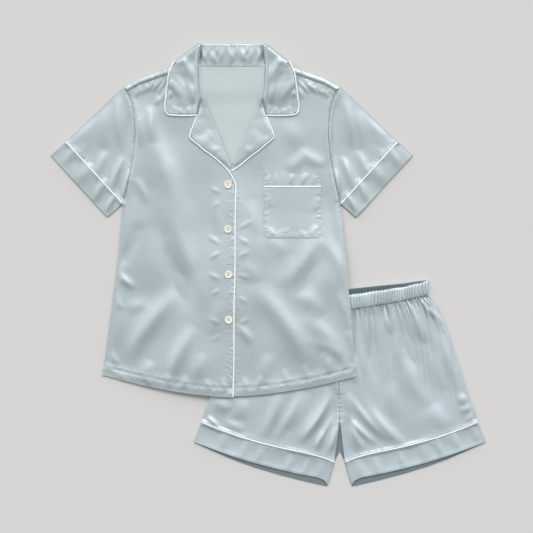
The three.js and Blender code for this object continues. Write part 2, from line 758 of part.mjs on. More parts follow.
function collarPiping() {
  const halfPath = (side) => {
    const sign = signOf(side);
    const over = LEAF_PIPING.map((p) =>
      onShirt(sign * p.x, p.drop, leafLevel(side, p.x, p.drop) + PIPING_RADIUS - CLOTH / 2),
    );
    const top = leafLevel(side, LEAF_FOLD.outX, LEAF_FOLD.outDrop) + PIPING_RADIUS - CLOTH / 2;
    const radius = (top - PIPING_LOW) / 2;
    const turn = PIPING_TURNS.map((part) => {
      const back = radius * (1 - Math.sin(Math.PI * part));
      const x = LEAF_FOLD.outX + TURN_SET.x + TURN_WAY.x * back;
      const drop = LEAF_FOLD.outDrop + TURN_SET.drop + TURN_WAY.drop * back;
      return onShirt(sign * x, drop, PIPING_LOW + radius * (1 + Math.cos(Math.PI * part)));
    });
    const hidden = [0, 1 / 3, 2 / 3].map((t) => {
      const p = between(UNDER_START, FALL_EDGE, t);
      return onShirt(sign * p.x, p.drop, PIPING_LOW);
    });
    return [...over, ...turn, ...hidden];
  };
  const behind = [-1, -0.5, 0, 0.5, 1].map((t) => onShirt(t * FALL_EDGE.x, FALL_EDGE.drop, PIPING_LOW));
  return cordAlong([...halfPath("right"), ...behind, ...halfPath("left").reverse()]);
}

// Piping on the fronts: round each lapel, and on down the edge of the right front to the hem.
const LAPEL_PIPING = table("x drop", [
  [70, 147.6],
  [76.6, 164],
  [82.8, 181],
  [84, 187],
  [77.4, 194.4],
  [66, 204],
  [55.4, 213.2],
  [44.4, 221.4],
  [33.8, 229.4],
  [22.6, 239],
]);
const RIGHT_EDGE_PIPING = table("x drop", [
  [-12, 249],
  [-4.6, 258],
  [0.6, 267],
  [4.8, 274.6],
  [7.4, 283],
  [7.9, 296],
  [7.8, 311],
]);
const LEFT_PIPING_END = table("x drop", [
  [14, 245.6],
  [6.6, 250.8],
]);
const PLACKET_STEPS = 26;
const PLACKET_END = { x: 2.8, drop: 706 };
const SETTLE_LENGTH = 0.12;
const LAPEL_PIPING_GAP = 0.2;

function rightFrontPiping() {
  const onLapel = LAPEL_PIPING.map((p) => ({ x: -p.x, drop: p.drop }));
  const over = [...onLapel, ...RIGHT_EDGE_PIPING].map((p) => {
    const level = lying(rightFront, Math.min(p.x, 0), p.drop, PIPING_RADIUS);
    return onShirt(p.x, p.drop, level + PIPING_RADIUS + LAPEL_PIPING_GAP);
  });
  const start = RIGHT_EDGE_PIPING[RIGHT_EDGE_PIPING.length - 1];
  const down = steps(PLACKET_STEPS)
    .slice(1)
    .map((t) => {
      const p = between(start, PLACKET_END, t);
      const settle = LAYER * (1 - ease(0, SETTLE_LENGTH, t)) + PIPING_RADIUS + LAPEL_PIPING_GAP;
      return onShirt(p.x, p.drop, lying(shirtFront, p.x, p.drop, LYING_REACH) + settle);
    });
  return cordAlong([...over, ...down]);
}

function leftLapelPiping() {
  const level = (p) => lying(shirtFront, p.x, p.drop, PIPING_RADIUS) + PIPING_RADIUS + LAPEL_PIPING_GAP;
  return cordAlong([...LAPEL_PIPING, ...LEFT_PIPING_END].map((p) => onShirt(p.x, p.drop, level(p))));
}

// The patch pocket on the left front: its body, its upper band and a line of piping between them.
const POCKET = { left: 64, right: 178.4, top: 257.4, piping: 286.6, bottom: 388.6 };
const POCKET_CORNER = { depth: 8, slant: 0.7 };
const POCKET_COLUMNS = 8;
const POCKET_ROWS = 7;
const POCKET_BAND_ROWS = 2;
const POCKET_PIPING_STEPS = 10;
const POCKET_PIPING_SET = 1;

const pocketHeight = (x, drop) => lying(shirtFront, x, drop, LYING_REACH);

// A part of the pocket between two drops, its lower corners cut off at a slant where it reaches them.
function pocketPart(top, bottom, rows) {
  const grid = steps(rows).map((v) => {
    const drop = mix(top, bottom, v);
    const cut = POCKET_CORNER.slant * Math.max(drop - POCKET.bottom + POCKET_CORNER.depth, 0);
    return steps(POCKET_COLUMNS).map((u) => ({ x: mix(POCKET.left + cut, POCKET.right - cut, u), drop }));
  });
  return slab(grid, pocketHeight, onShirt);
}

function pocketPiping() {
  const points = steps(POCKET_PIPING_STEPS).map((t) => {
    const x = mix(POCKET.left + POCKET_PIPING_SET, POCKET.right - POCKET_PIPING_SET, t);
    return onShirt(x, POCKET.piping, pocketHeight(x, POCKET.piping) + PIPING_RADIUS);
  });
  return cordAlong(points);
}

// Four-hole buttons with a raised rim, on the lap of the right front.
const BUTTONS = table("x drop", [
  [-7.8, 282.2],
  [-7.8, 371.6],
  [-6.6, 462.4],
  [-6.4, 552.8],
]);
const BUTTON_RIM = table("radius height", [
  [0, 0],
  [0.82, 0],
  [1, 0.4],
  [0.97, 0.85],
  [0.82, 1],
  [0.68, 0.7],
  [0, 0.6],
]);
const BUTTON_SEGMENTS = 14;
const BUTTON_HOLE = { radius: 1.1, reach: 1.8, sides: 5 };
const BUTTON_PLACES = [
  [-1, -1],
  [-1, 1],
  [1, -1],
  [1, 1],
];
const BUTTON_LIFT = LAYER + 0.15;

function buttonGeometry() {
  const profile = BUTTON_RIM.map(
    (row) => new THREE.Vector2(row.radius * BUTTON_RADIUS, row.height * BUTTON_THICKNESS),
  );
  let solid = solidOf(new THREE.LatheGeometry(profile, BUTTON_SEGMENTS).rotateX(Math.PI / 2));
  for (const [i, j] of BUTTON_PLACES) {
    const { radius, reach, sides } = BUTTON_HOLE;
    const hole = new THREE.CylinderGeometry(radius, radius, 4 * BUTTON_THICKNESS, sides).rotateX(Math.PI / 2);
    solid = solid.subtract(solidOf(hole.translate(i * reach, j * reach, 0)));
  }
  return geometryOf(solid);
}

function seatOfButton(x, drop) {
  const angles = steps(BUTTON_SEGMENTS).map((t) => 2 * Math.PI * t);
  const heights = angles.map((angle) =>
    rightFront(x + BUTTON_RADIUS * Math.cos(angle), drop + BUTTON_RADIUS * Math.sin(angle)),
  );
  return Math.max(rightFront(x, drop), ...heights) + BUTTON_LIFT;
}

// Outlines of the shorts.
const WAIST = table("x backTop frontTop frontLow", [
  [0, 18, 30.8, 60.6],
  [18.4, 17.6, 30.4, 59.8],
  [73, 12, 21.8, 51.4],
  [129.2, 6.4, 13.4, 41.6],
  [160, 1.6, 6, 34.6],
  [170, 0.6, 2.6, 32],
  [177, 1.4, 1.6, 31.4],
]);
const BAND_DEPTH = 29;
const LEG_SIDE = table("x drop", [
  [178.6, 33.6],
  [194, 52.8],
  [208, 80.8],
  [219, 111.6],
  [230, 148],
  [244, 190],
  [258, 232],
  [266.6, 254.8],
  [276, 283],
]);
const LEG_PIPING = table("x drop", [
  [10.5, 365],
  [20, 359.6],
  [31, 355.4],
  [50, 350],
  [73, 344.6],
  [115.2, 336],
  [157.2, 325.6],
  [199.4, 313.4],
  [241.4, 298.4],
  [276.5, 283.6],
]);
const LEG_HEM = table("x frontDrop backDrop", [
  [23.6, 408.6, 412],
  [31, 400, 411],
  [45, 394.4, 408],
  [87, 386.4, 398],
  [129.2, 376.6, 386.8],
  [171.2, 365.6, 374.2],
  [213.4, 352.6, 359],
  [255.4, 337.4, 341],
  [291.6, 323.4, 323.8],
]);
const LEG_SEAM_SET = 0.6;
const LEG_SEAM_END_SET = 1.2;
const LEG_TOP = { columnsEnd: 176.4, sideX: 177.4 };
const LEG_SAMPLES = 100;
const FRONT_ROWS = [0, 0.04, 0.12, 0.24, 0.4, 0.58, 0.79, 1];
const BACK_ROWS = steps(5);
const BACK_LEG_COLUMNS = 8;
const COLUMNS_A_GATHER = 3;
const FRONT_CROTCH = 280;
const BACK_CROTCH = 343;
const CENTRE_SET = SEAM / 2 + 0.1;
const GATHER_HEIGHT = 2.3;
const GATHER_FADE = 75;
const GATHER_DRIFT = { part: 0.04, length: 9 };
const GATHER_EDGE = 6;
const WAIST_RAISE = 1.9;
const WAIST_RAISE_FADE = 30;
const SHORTS_FOLDS = table("x drop length heading width height bend", [
  [-200, 190, 190, 108, 40, 2.4, 6],
  [-130, 230, 190, 98, 44, 2.6, -6],
  [-60, 250, 170, 80, 36, 2, 5],
  [-226, 260, 90, 128, 30, 1.8, 3],
  [-90, 310, 90, 60, 30, 1.6, 4],
  [-30, 200, 120, 76, 26, 1.4, 3],
  [50, 230, 190, 104, 36, 2.2, -5],
  [110, 200, 210, 84, 44, 2.4, 6],
  [176, 210, 210, 70, 44, 2.6, -6],
  [214, 180, 150, 66, 32, 2, 5],
  [226, 270, 90, 46, 30, 1.8, -3],
  [140, 300, 100, 112, 34, 1.8, 4],
  [40, 310, 90, 112, 28, 1.6, -3],
]);

const flatBed = () => 0;
const waistDrop = (x, column) => lookUp(WAIST, "x", Math.abs(x), column);
const LEG_SIDE_LINES = [LEG_SIDE, [LEG_SIDE[LEG_SIDE.length - 1], { x: 292, drop: 323.6 }]];
const CROTCH_LINE = table("x drop", [
  [0, 320],
  [6, 344],
  [24, 410],
]);
const SPREAD_LINE = [{ x: 176, drop: 30 }, ...LEG_SIDE];

// The underside of the shorts' front layer: gathers fan out below the waist and fade down the legs.
function shortsFront(x, drop) {
  const away = Math.abs(x);
  const below = Math.max(drop - waistDrop(away, "frontLow"), 0);
  const edge = Math.min(...LEG_SIDE_LINES.map((line) => distanceToLine(line, away, drop)));
  const crotch = distanceToLine(CROTCH_LINE, away, drop);
  const spread = lookUp(SPREAD_LINE, "drop", drop, "x");
  const drift = GATHER_DRIFT.part * Math.sin(away / GATHER_DRIFT.length);
  const phase = 2 * Math.PI * GATHERS_A_LEG * (away / spread + drift);
  const gather = GATHER_HEIGHT * Math.exp(-below / GATHER_FADE) * (0.5 - 0.5 * Math.cos(phase));
  const folds = foldHeight(SHORTS_FOLDS, x, drop);
  const soft = gather * ease(0, GATHER_EDGE, edge) + folds * ease(0, PUFF_REACH, edge);
  const raise = WAIST_RAISE * Math.exp(-below / WAIST_RAISE_FADE);
  const piping = ridge(distanceToLine(LEG_PIPING, away, drop), CUFF_RIDGE);
  return LAYER + Math.max(Math.min(puff(edge), puff(crotch)) + soft, raise, piping);
}

function legPanel(side, layer) {
  const isFront = layer === "front";
  const columns = isFront ? COLUMNS_A_GATHER * GATHERS_A_LEG : BACK_LEG_COLUMNS;
  const crotch = isFront ? FRONT_CROTCH : BACK_CROTCH;
  const rows = isFront ? FRONT_ROWS : BACK_ROWS;
  const waistLow = (x) =>
    isFront ? waistDrop(x, "frontLow") + SEAM : waistDrop(x, "backTop") + BAND_DEPTH + SEAM;
  const top = steps(columns).map((t) => {
    const x = mix(CENTRE_SET, LEG_TOP.columnsEnd, t);
    return { x, drop: waistLow(x) };
  });
  const seam = LEG_PIPING.map((row) => ({ x: row.x, drop: row.drop - PIPING_ROOM - LEG_SEAM_SET }));
  seam[seam.length - 1].x -= LEG_SEAM_END_SET;
  const bottom = evenPoints(seam, columns);
  const pick = (line) => {
    const even = evenPoints(line, LEG_SAMPLES);
    return rows.map((v) => even[Math.round(v * LEG_SAMPLES)]);
  };
  const sideTop = { x: LEG_TOP.sideX, drop: top[columns].drop };
  const outer = pick([sideTop, ...LEG_SIDE.slice(1, -1), bottom[columns]]);
  const inner = pick([top[0], { x: CENTRE_SET, drop: crotch }, bottom[0]]);
  outer[0] = top[columns];
  const half = patch(top, bottom, inner, outer, steps(columns), rows);
  return slab(half.map((row) => mirrored(row, side)), isFront ? shortsFront : flatBed, onShorts);
}

// The elastic waistband: a flattened ring, ribbed on what shows of its two layers.
const BAND_SIDE_WALL = 0.9;

function waistband() {
  const count = 2 * RIBS_A_LAYER;
  const half = WAIST[WAIST.length - 1].x;
  const frontRise = ELASTIC + RIB + SEAM;
  const rib = (i) => (i % 2 ? RIB : 0);
  const stations = [0, 1].map((v) => {
    const frontAt = (x) => mix(waistDrop(x, "frontTop"), waistDrop(x, "frontLow"), v);
    const backAt = (x) => waistDrop(x, "backTop") + v * BAND_DEPTH;
    const places = steps(count).map((t) => mix(-half + FOLD_INSET, half - FOLD_INSET, t));
    const middle = (frontRise + ELASTIC) / 2;
    const sideDrop = (frontAt(half) + backAt(half)) / 2;
    const front = (up, ribbed) => places.map((x, i) => onShorts(x, frontAt(x), up + (ribbed ? rib(i) : 0)));
    const back = (up, ribbed) =>
      places.map((x, i) => onShorts(x, backAt(x), up + (ribbed ? rib(i) : 0))).reverse();
    const outer = [
      onShorts(-half, sideDrop, middle),
      ...front(frontRise + ELASTIC, true),
      onShorts(half, sideDrop, middle),
      ...back(0, false),
    ];
    const reach = half - BAND_SIDE_WALL * FOLD_INSET;
    const inner = [
      onShorts(-reach, sideDrop, middle),
      ...front(frontRise, false),
      onShorts(reach, sideDrop, middle),
      ...back(ELASTIC, true),
    ];
    return [outer, inner];
  });
  return wall(stations.map(([outer]) => outer), stations.map(([, inner]) => inner), true);
}

// Hem bands: a flattened ring on each leg, its back layer longer than its front.
const HEM_COLUMNS = 14;
const HEM_ROWS = 2;

function hemBand(side) {
  const sign = signOf(side);
  const seam = LEG_PIPING.map((row) => ({ x: row.x, drop: row.drop + PIPING_ROOM + LEG_SEAM_SET }));
  const topLine = evenPoints(seam, HEM_COLUMNS);
  const hems = ["frontDrop", "backDrop"].map((column) =>
    evenPoints(
      LEG_HEM.map((row) => ({ x: row.x, drop: row[column] })),
      HEM_COLUMNS,
    ),
  );
  const rings = steps(HEM_ROWS).map((v) => hems.map((hem) => topLine.map((p, i) => between(p, hem[i], v))));
  const outer = [];
  const inner = [];
  for (const [front, back] of rings) {
    const last = front.length - 1;
    const set = (p, by) => ({ x: p.x + by, drop: p.drop });
    const side0 = between(front[0], back[0], 0.5);
    const side1 = between(front[last], back[last], 0.5);
    const body = (layer) => [set(layer[0], FOLD_INSET), ...layer.slice(1, -1), set(layer[last], -FOLD_INSET)];
    const ring = (inset, up, down) =>
      [
        [set(side0, inset), LAYER],
        ...body(front).map((p) => [p, shortsFront(p.x, p.drop) + up]),
        [set(side1, -inset), LAYER],
        ...body(back).reverse().map((p) => [p, down]),
      ].map(([p, z]) => onShorts(sign * p.x, p.drop, z));
    outer.push(ring(0, CLOTH, 0));
    inner.push(ring(CLOTH, 0, CLOTH));
  }
  return wall(outer, inner, true);
}

const LEG_PIPING_COLUMNS = { front: 16, back: 6 };

const legPiping = (side) =>
  cordAlong(pipingRing(along(mirrored(LEG_PIPING, side)), LEG_PIPING_COLUMNS, flatBed, shortsFront, onShorts));

add("shirt_back", joined([backPanel(), shoulderWrap("right"), shoulderWrap("left")]), SATIN);
add("collar", joined([collarBack(), collarLeaf("right"), collarLeaf("left")]), SATIN);
add("collar_piping", collarPiping(), PIPING);
for (const side of ["right", "left"]) {
  add(`front_${side}`, frontPanel(side), SATIN);
  add(`lapel_${side}`, lapel(side), SATIN);
  add(`sleeve_${side}`, sleeve(side), SATIN);
  add(`cuff_${side}`, cuff(side), SATIN);
  add(`cuff_piping_${side}`, cuffPiping(side), PIPING);
  add(`shorts_front_${side}`, legPanel(side, "front"), SATIN);
  add(`shorts_back_${side}`, legPanel(side, "back"), SATIN);
  add(`hem_band_${side}`, hemBand(side), SATIN);
  add(`leg_piping_${side}`, legPiping(side), PIPING);
}
add("front_piping_right", rightFrontPiping(), PIPING);
add("lapel_piping_left", leftLapelPiping(), PIPING);
add("pocket", pocketPart(POCKET.piping + PIPING_ROOM, POCKET.bottom, POCKET_ROWS), SATIN);
add("pocket_band", pocketPart(POCKET.top, POCKET.piping - PIPING_ROOM, POCKET_BAND_ROWS), SATIN);
add("pocket_piping", pocketPiping(), PIPING);
BUTTONS.forEach((row, i) => {
  const place = onShirt(row.x, row.drop, seatOfButton(row.x, row.drop));
  add(`button_${i + 1}`, buttonGeometry().translate(place.x, place.y, place.z), SHELL);
});
add("waistband", waistband(), SATIN);

export default group;
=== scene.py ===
"""A satin pyjama set laid flat: a short-sleeved shirt with a notched collar, its hem over a pair of shorts.

Lengths in the tables are millimetres in each garment's own plan: x from its centre line towards the wearer's
left, drop down from its top edge, and height up from the surface that the set lies on.
"""

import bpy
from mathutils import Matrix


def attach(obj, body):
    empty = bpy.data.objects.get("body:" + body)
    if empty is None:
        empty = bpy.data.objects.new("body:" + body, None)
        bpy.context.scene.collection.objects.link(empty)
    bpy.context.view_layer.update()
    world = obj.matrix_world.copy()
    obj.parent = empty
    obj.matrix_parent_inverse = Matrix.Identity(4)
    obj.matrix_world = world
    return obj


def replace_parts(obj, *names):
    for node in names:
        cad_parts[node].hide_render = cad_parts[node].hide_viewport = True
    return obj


bl_info = {
    "name": "Pyjama set",
    "version": (1, 0, 0),
    "blender": (4, 5, 0),
    "location": "3D View > Sidebar > Pyjama set",
    "description": "Dresses a satin shirt and shorts, laid flat, on their measured solids",
    "category": "Object",
}

import bpy
import numpy as np
from bpy.props import FloatProperty, FloatVectorProperty, PointerProperty
from mathutils import Vector

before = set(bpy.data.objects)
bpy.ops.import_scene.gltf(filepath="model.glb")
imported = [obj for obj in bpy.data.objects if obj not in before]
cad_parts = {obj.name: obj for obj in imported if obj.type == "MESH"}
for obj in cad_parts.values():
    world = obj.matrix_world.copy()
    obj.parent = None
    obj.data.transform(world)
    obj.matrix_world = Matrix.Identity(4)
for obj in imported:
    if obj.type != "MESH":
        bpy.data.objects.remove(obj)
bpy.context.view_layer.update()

MM = 0.001
SHIRT = np.array([-70.4, 443.0])
SHORTS = np.array([145.2, -30.2])
CLOTH = 1.0
SEAM = 0.3
LAYER = CLOTH + SEAM
PIPING_RADIUS = 1.6
PIPING_SEAT = 1.45
PIPING_ROOM = 1.6
EDGE_RISE = 0.9
SIDE_PUFF = 0.6
PUFF_REACH = 26.0
FOLD_REACH = 13.0
FOLD_INSET = 1.3
ELASTIC = 2.2
BUTTON_RADIUS = 8.0
BUTTON_THICKNESS = 2.6
STITCH = 2.3
STITCH_PITCH = 3.3
SIDES = {"right": -1.0, "left": 1.0}

# Outlines of the shirt: x and drop. Rows without a side are the same, mirrored, on both sides.
SHOULDER = np.array([(60, 24.5), (125, 48.8), (185, 70), (217, 88), (334, 197), (362, 221)])
SHOULDER_SEAM_SET = 13.0
NECK_X = 69.2
ARMHOLE = np.array([
    (215.5, 87), (207.5, 101.5), (203, 110), (199.4, 120), (196.2, 135), (194, 154), (192.8, 170),
    (192.8, 187), (194.6, 208), (198, 232), (202.6, 258), (208.4, 286), (214.6, 312),
])
SIDE_SEAM = {
    "right": np.array([
        (217, 320), (223, 385), (228.8, 447), (235.8, 498), (243, 554), (252.8, 626), (258.4, 664),
    ]),
    "left": np.array([(216, 320), (222.6, 385), (230, 447), (234, 498), (239, 554), (245, 626), (248, 664)]),
}
HEM_DEPTH = 43.0
CUFF_TOP = np.array([331.5, 196.8])
CUFF_LOW = np.array([217.6, 321.4])
CUFF_WAY = np.array([0.752, 0.659])
CUFF_DEPTH = 40.0
BACK_NECK_DROP = 45.6
BACK_NECK_DIP = 1.6
NECK_EDGE = np.array([(69.2, 40.5), (69.4, 81), (66.4, 100), (60.8, 110)])
V_LINE = np.array([(61, 100), (57.6, 108), (0.8, 244.6)])
RIGHT_FRONT_EDGE = np.array([(-2.46, 245.3), (-1.4, 262), (4.9, 283), (6.1, 311), (3.5, 500), (1, 706.8)])
LEFT_FRONT_EDGE = np.array([(6.46, 235.7), (-8, 262), (-20.6, 292), (-20.6, 704)])

# What the back panel lies on: the table, the shorts, or the collar's fall.
SHORTS_UNDER = np.array([
    (-178, 0), (-60, 10), (60, 10), (178, 0), (244, 190), (292, 322), (30, 410), (-30, 410), (-292, 322),
    (-244, 190), (-178, 0),
])
SHORTS_RISE = 7.4
SHORTS_SLOPE = 200.0
COLLAR_RISE = 2.9
COLLAR_FLAT = 25.0
COLLAR_SLOPE = 62.0
FALL_EDGE = np.array([66.0, 64.5])
FALL_OUT = np.array([115.0, 40.0])
CUFF_RIDGE = 1.8
RIDGE_REACH = 9.0
LAP_FROM = -150.0
LAP_TO = -16.0
LAP_RISE = LAYER + 0.45
LYING_REACH = 7.0

# Soft folds: x and drop of the start, x and drop of the end, width, height and bend. A negative height is a
# trough, and a bend bows the middle of the fold to the left of its way.
SHIRT_FOLDS = np.array([
    (-196, 110, -84, 470, 46, 4.2, -16), (-156, 290, -62, 540, 38, 3.6, -8),
    (-136, 400, -64, 560, 46, -3.0, -6), (-108, 490, -214, 645, 36, 5.2, 8),
    (-76, 560, -126, 680, 30, 4.6, 4), (-230, 449, -180, 353, 24, -2.6, 6),
    (-232, 455, -192, 491, 15, 2.2, 2), (-238, 493, -218, 535, 13, 1.6, 2),
    (-250, 609, -226, 643, 15, 1.8, 2), (-164, 121, -156, 201, 20, 2.6, 2),
    (-196, 265, -168, 321, 17, 1.6, -2), (-182, 137, -178, 213, 18, 1.4, 2),
    (-124, 223, -84, 315, 44, 0.8, 6), (-40, 437, -80, 573, 40, 1.6, 6),
    (-164, 365, -144, 513, 46, 1.7, -6), (-216, 529, -164, 513, 26, 1.4, 4),
    (-186, 373, -208, 437, 22, 1.6, 4), (-56, 617, -72, 681, 24, 1.8, 2),
    (-160, 633, -178, 677, 22, 1.9, 2), (-36, 305, -20, 385, 22, 1, 2), (-20, 513, -40, 589, 26, 1.4, 2),
    (36, 480, 160, 655, 40, 4.4, -12), (150, 590, 240, 640, 22, 1.4, -4),
    (140, 540, 236, 645, 34, 2.6, -6), (68, 385, 112, 427, 26, 0.9, -2), (170, 380, 96, 490, 34, 3.2, -8),
    (184, 400, 130, 510, 34, -2.2, -8), (178, 385, 236, 490, 28, 1.7, -6),
    (10, 561, 40, 603, 17, 1.8, -2), (108, 255, 148, 209, 24, 1.9, 6), (140, 209, 192, 243, 24, 1.9, 8),
    (196, 153, 204, 249, 18, 1.6, 2), (22, 437, 52, 481, 30, 1.4, -4), (136, 497, 180, 549, 34, 2, -6),
    (212, 493, 236, 573, 20, 1.8, -2), (76, 617, 60, 685, 26, 2, 2), (180, 617, 204, 657, 22, 1.6, -2),
    (36, 313, 52, 385, 26, 1.2, 2), (100, 153, 136, 213, 36, 1.3, -4), (202, 273, 218, 393, 22, 1.7, -4),
    (230, 573, 246, 617, 14, 1.5, -2), (-210, 113, -204, 273, 17, -3, -4),
    (-228, 97, -220, 213, 16, 2.2, 4), (-244, 121, -256, 213, 24, 1.8, 6),
    (-272, 145, -300, 213, 29.7, 0.99, 4), (-216, 223, -240, 305, 14, 2.9, 4),
    (-250, 213, -270, 277, 18, 2.2, 4), (-288, 197, -308, 237, 16.2, 0.99, 2),
    (-204, 250, -214, 312, 9, 2.6, 2), (214, 97, 206, 257, 15, -3, 4), (226, 109, 238, 213, 16, 2.2, -4),
    (244, 131, 262, 213, 20, 1.3, -6), (278, 149, 304, 213, 27, 0.99, -4),
    (218, 223, 244, 303, 14, 2.9, -4), (250, 213, 270, 277, 18, 2.2, -4),
    (206, 250, 216, 312, 9, 2.6, -2), (288, 205, 308, 241, 16.2, 0.87, -2),
    (-308, 207, -338, 247, 17, 1.5, 2), (-278, 238, -308, 283, 24, 1.8, 2),
    (-250, 268, -274, 318, 15, 2.5, 2), (-228, 294, -250, 340, 11, 2.2, 2),
    (308, 207, 338, 251, 17, 1.5, -2), (278, 238, 304, 287, 24, 1.8, -2),
    (250, 268, 270, 320, 15, 2.5, -2), (226, 294, 246, 340, 11, 2.2, -2),
    (-128, 67, -148, 101, 7, 1.5, 0), (-138, 69, -162, 99, 7, 1.4, 0), (-152, 73, -172, 99, 8, 1.2, 0),
    (-166, 81, -182, 103, 8, 1.1, 0), (-180, 87, -194, 109, 8, 1, 0), (-128, 81, -142, 121, 9, 1.5, 0),
    (-144, 105, -152, 125, 10, 1.2, 0), (130, 71, 156, 101, 8, 1.6, 0), (142, 69, 166, 99, 7, 1.3, 0),
    (154, 77, 174, 103, 8, 1.4, 0), (168, 83, 184, 105, 8, 1.1, 0), (180, 91, 194, 109, 8, 1, 0),
    (132, 85, 144, 113, 9, 1.5, 0), (-224, 655, -208, 685, 12, 1.2, 0),
    (-172, 661, -164, 689, 12, 1.2, 0), (-132, 657, -122, 689, 12, 1.3, 0),
    (-92, 661, -96, 693, 12, 1.2, 0), (-52, 669, -44, 695, 11, 1.1, 0), (-20, 665, -12, 695, 10, 1.1, 0),
    (24, 665, 30, 695, 11, 1.1, 0), (60, 663, 50, 691, 9, 1.5, 0), (104, 649, 112, 685, 12, 1.1, 0),
    (144, 641, 152, 675, 12, 1.1, 0), (188, 629, 196, 665, 12, 1.1, 0), (224, 625, 228, 657, 10, 1.2, 0),
    (-22, 300, -44, 288, 8, 0.7, 0), (-22, 316, -40, 328, 7, 0.6, 0), (-22, 402, -50, 384, 9, 0.9, 0),
    (-22, 416, -46, 432, 8, 0.9, 0), (-22, 474, -48, 458, 9, 0.9, 0), (-22, 490, -42, 504, 7, 0.8, 0),
    (-22, 562, -46, 548, 8, 0.8, 0), (-22, 582, -42, 596, 8, 0.7, 0), (12, 372, 44, 352, 9, 0.9, 0),
    (12, 388, 36, 402, 8, 0.8, 0), (12, 428, 36, 414, 8, 0.7, 0), (12, 460, 38, 472, 9, 0.8, 0),
    (12, 506, 34, 520, 8, 0.7, 0), (12, 562, 38, 548, 8, 0.7, 0), (40, 300, 190, 330, 120, 2.2, 0),
])
SHORTS_FOLDS = np.array([
    (63, 80, 83, 232, 22, -1.6, 4), (55, 56, 61, 164, 13, 2, 2), (89, 52, 105, 112, 13, 1.8, 2),
    (125, 64, 161, 192, 24, -2.4, 4), (133, 152, 181, 256, 30, 1.8, 10), (141, 48, 177, 128, 24, 3, 4),
    (163, 40, 195, 76, 12, 2.4, 2), (40, 216, 130, 336, 24, 1.6, 12), (65, 256, 137, 332, 20, 2, 8),
    (25, 280, 41, 348, 16, 2.2, 4), (201, 80, 245, 240, 20, 2, 4), (193, 140, 213, 224, 26, 1.6, 4),
    (231, 240, 263, 232, 20, 1.8, 2), (237, 264, 267, 248, 14, 1.4, 2), (253, 284, 269, 264, 11, 1.0, 0),
    (181, 248, 225, 296, 34, 1.8, 6), (105, 200, 117, 280, 26, 1.8, 4), (25, 144, 33, 208, 16, 2.2, 2),
    (41, 100, 53, 200, 15, 1.6, 2), (109, 100, 125, 184, 18, 1.6, 2), (-121, 216, -157, 320, 24, 3.2, -6),
    (-19, 208, -87, 324, 26, 3.2, -12), (-3, 260, -25, 352, 18, 2.2, -6),
    (-67, 224, -111, 300, 30, 1.8, -6), (-251, 236, -215, 260, 24, 2, 4),
    (-267, 270, -241, 296, 9, 2.2, 0), (-235, 280, -187, 300, 16, 1.4, 2),
    (-193, 236, -203, 280, 28, 1.5, -2), (-35, 300, -47, 344, 12, 1.8, -2),
    (-13, 184, 3, 232, 16, 1.6, 2), (11, 224, 23, 280, 14, 1.6, -2), (-227, 300, -235, 340, 18, 1.2, 0),
    (-187, 320, -199, 364, 14, 1.3, 0), (-155, 332, -167, 368, 14, 1.2, 0),
    (-95, 348, -107, 388, 14, 1.5, 0), (-63, 356, -73, 396, 10, 1.4, 0), (-35, 360, -43, 400, 12, 1.2, 0),
    (37, 356, 45, 404, 14, 1.4, 0), (69, 348, 77, 396, 16, 1.4, 0), (117, 336, 129, 380, 14, 1.2, 0),
    (193, 316, 205, 356, 12, 1.4, 0), (225, 304, 237, 340, 14, 1.2, 0), (161, 324, 177, 364, 20, 1.2, 0),
    (265, 288, 277, 324, 14, 1.1, 0), (10, 214, 104, 326, 15, 2.2, 8), (8, 262, 76, 330, 12, 2.0, 4),
    (22, 288, 50, 342, 10, 1.6, 2), (-16, 224, -84, 330, 14, 2.2, -6), (-12, 266, -54, 338, 11, 1.9, -3),
    (-6, 288, -20, 346, 8, 1.4, -1), (-74, 216, -132, 324, 18, 1.9, -4),
])


def ease(start, end, value):
    """0 before start, 1 after end, and 3t^2 - 2t^3 between them."""
    t = np.clip((value - start) / (end - start), 0.0, 1.0)
    return t * t * (3.0 - 2.0 * t)


def bell(value, width):
    """One at zero, falling as e to the minus square of value over half the width."""
    return np.exp(-np.square(value / (0.5 * width)))


def nearest_on(line, x, drop):
    """Distance to a line of straight stretches, and how far along it the nearest point is."""
    nearest = np.full(np.shape(x), np.inf)
    run = np.zeros(np.shape(x))
    before = 0.0
    for (ax, ad), (bx, bd) in zip(line[:-1], line[1:]):
        length = np.hypot(bx - ax, bd - ad)
        part = np.clip(((x - ax) * (bx - ax) + (drop - ad) * (bd - ad)) / length**2, 0.0, 1.0)
        away = np.hypot(x - ax - part * (bx - ax), drop - ad - part * (bd - ad))
        closer = away < nearest
        nearest = np.where(closer, away, nearest)
        run = np.where(closer, before + part * length, run)
        before += length
    return nearest, run


def distance(line, x, drop):
    """Distance to the nearest point of a line of straight stretches."""
    return nearest_on(line, x, drop)[0]


def curve(points, count):
    """Evenly spaced points of a cubic Hermite curve through the rows, sloped by their neighbours."""
    p = np.asarray(points, dtype=float)
    s = np.concatenate([[0.0], np.cumsum(np.linalg.norm(np.diff(p, axis=0), axis=1))])
    slope = np.gradient(p, s, axis=0)
    at = np.linspace(0.0, s[-1], count)
    i = np.clip(np.searchsorted(s, at, side="right") - 1, 0, len(s) - 2)
    step = (s[i + 1] - s[i])[:, None]
    t = (at - s[i])[:, None] / step
    return (
        (2 * t**3 - 3 * t**2 + 1) * p[i]
        + (t**3 - 2 * t**2 + t) * step * slope[i]
        + (3 * t**2 - 2 * t**3) * p[i + 1]
        + (t**3 - t**2) * step * slope[i + 1]
    )


def straight(points, parts):
    """Points at the given parts of the length of a line of straight stretches."""
    p = np.asarray(points, dtype=float)
    s = np.concatenate([[0.0], np.cumsum(np.linalg.norm(np.diff(p, axis=0), axis=1))])
    at = np.asarray(parts) * s[-1]
    return np.stack([np.interp(at, s, column) for column in p.T], axis=1)


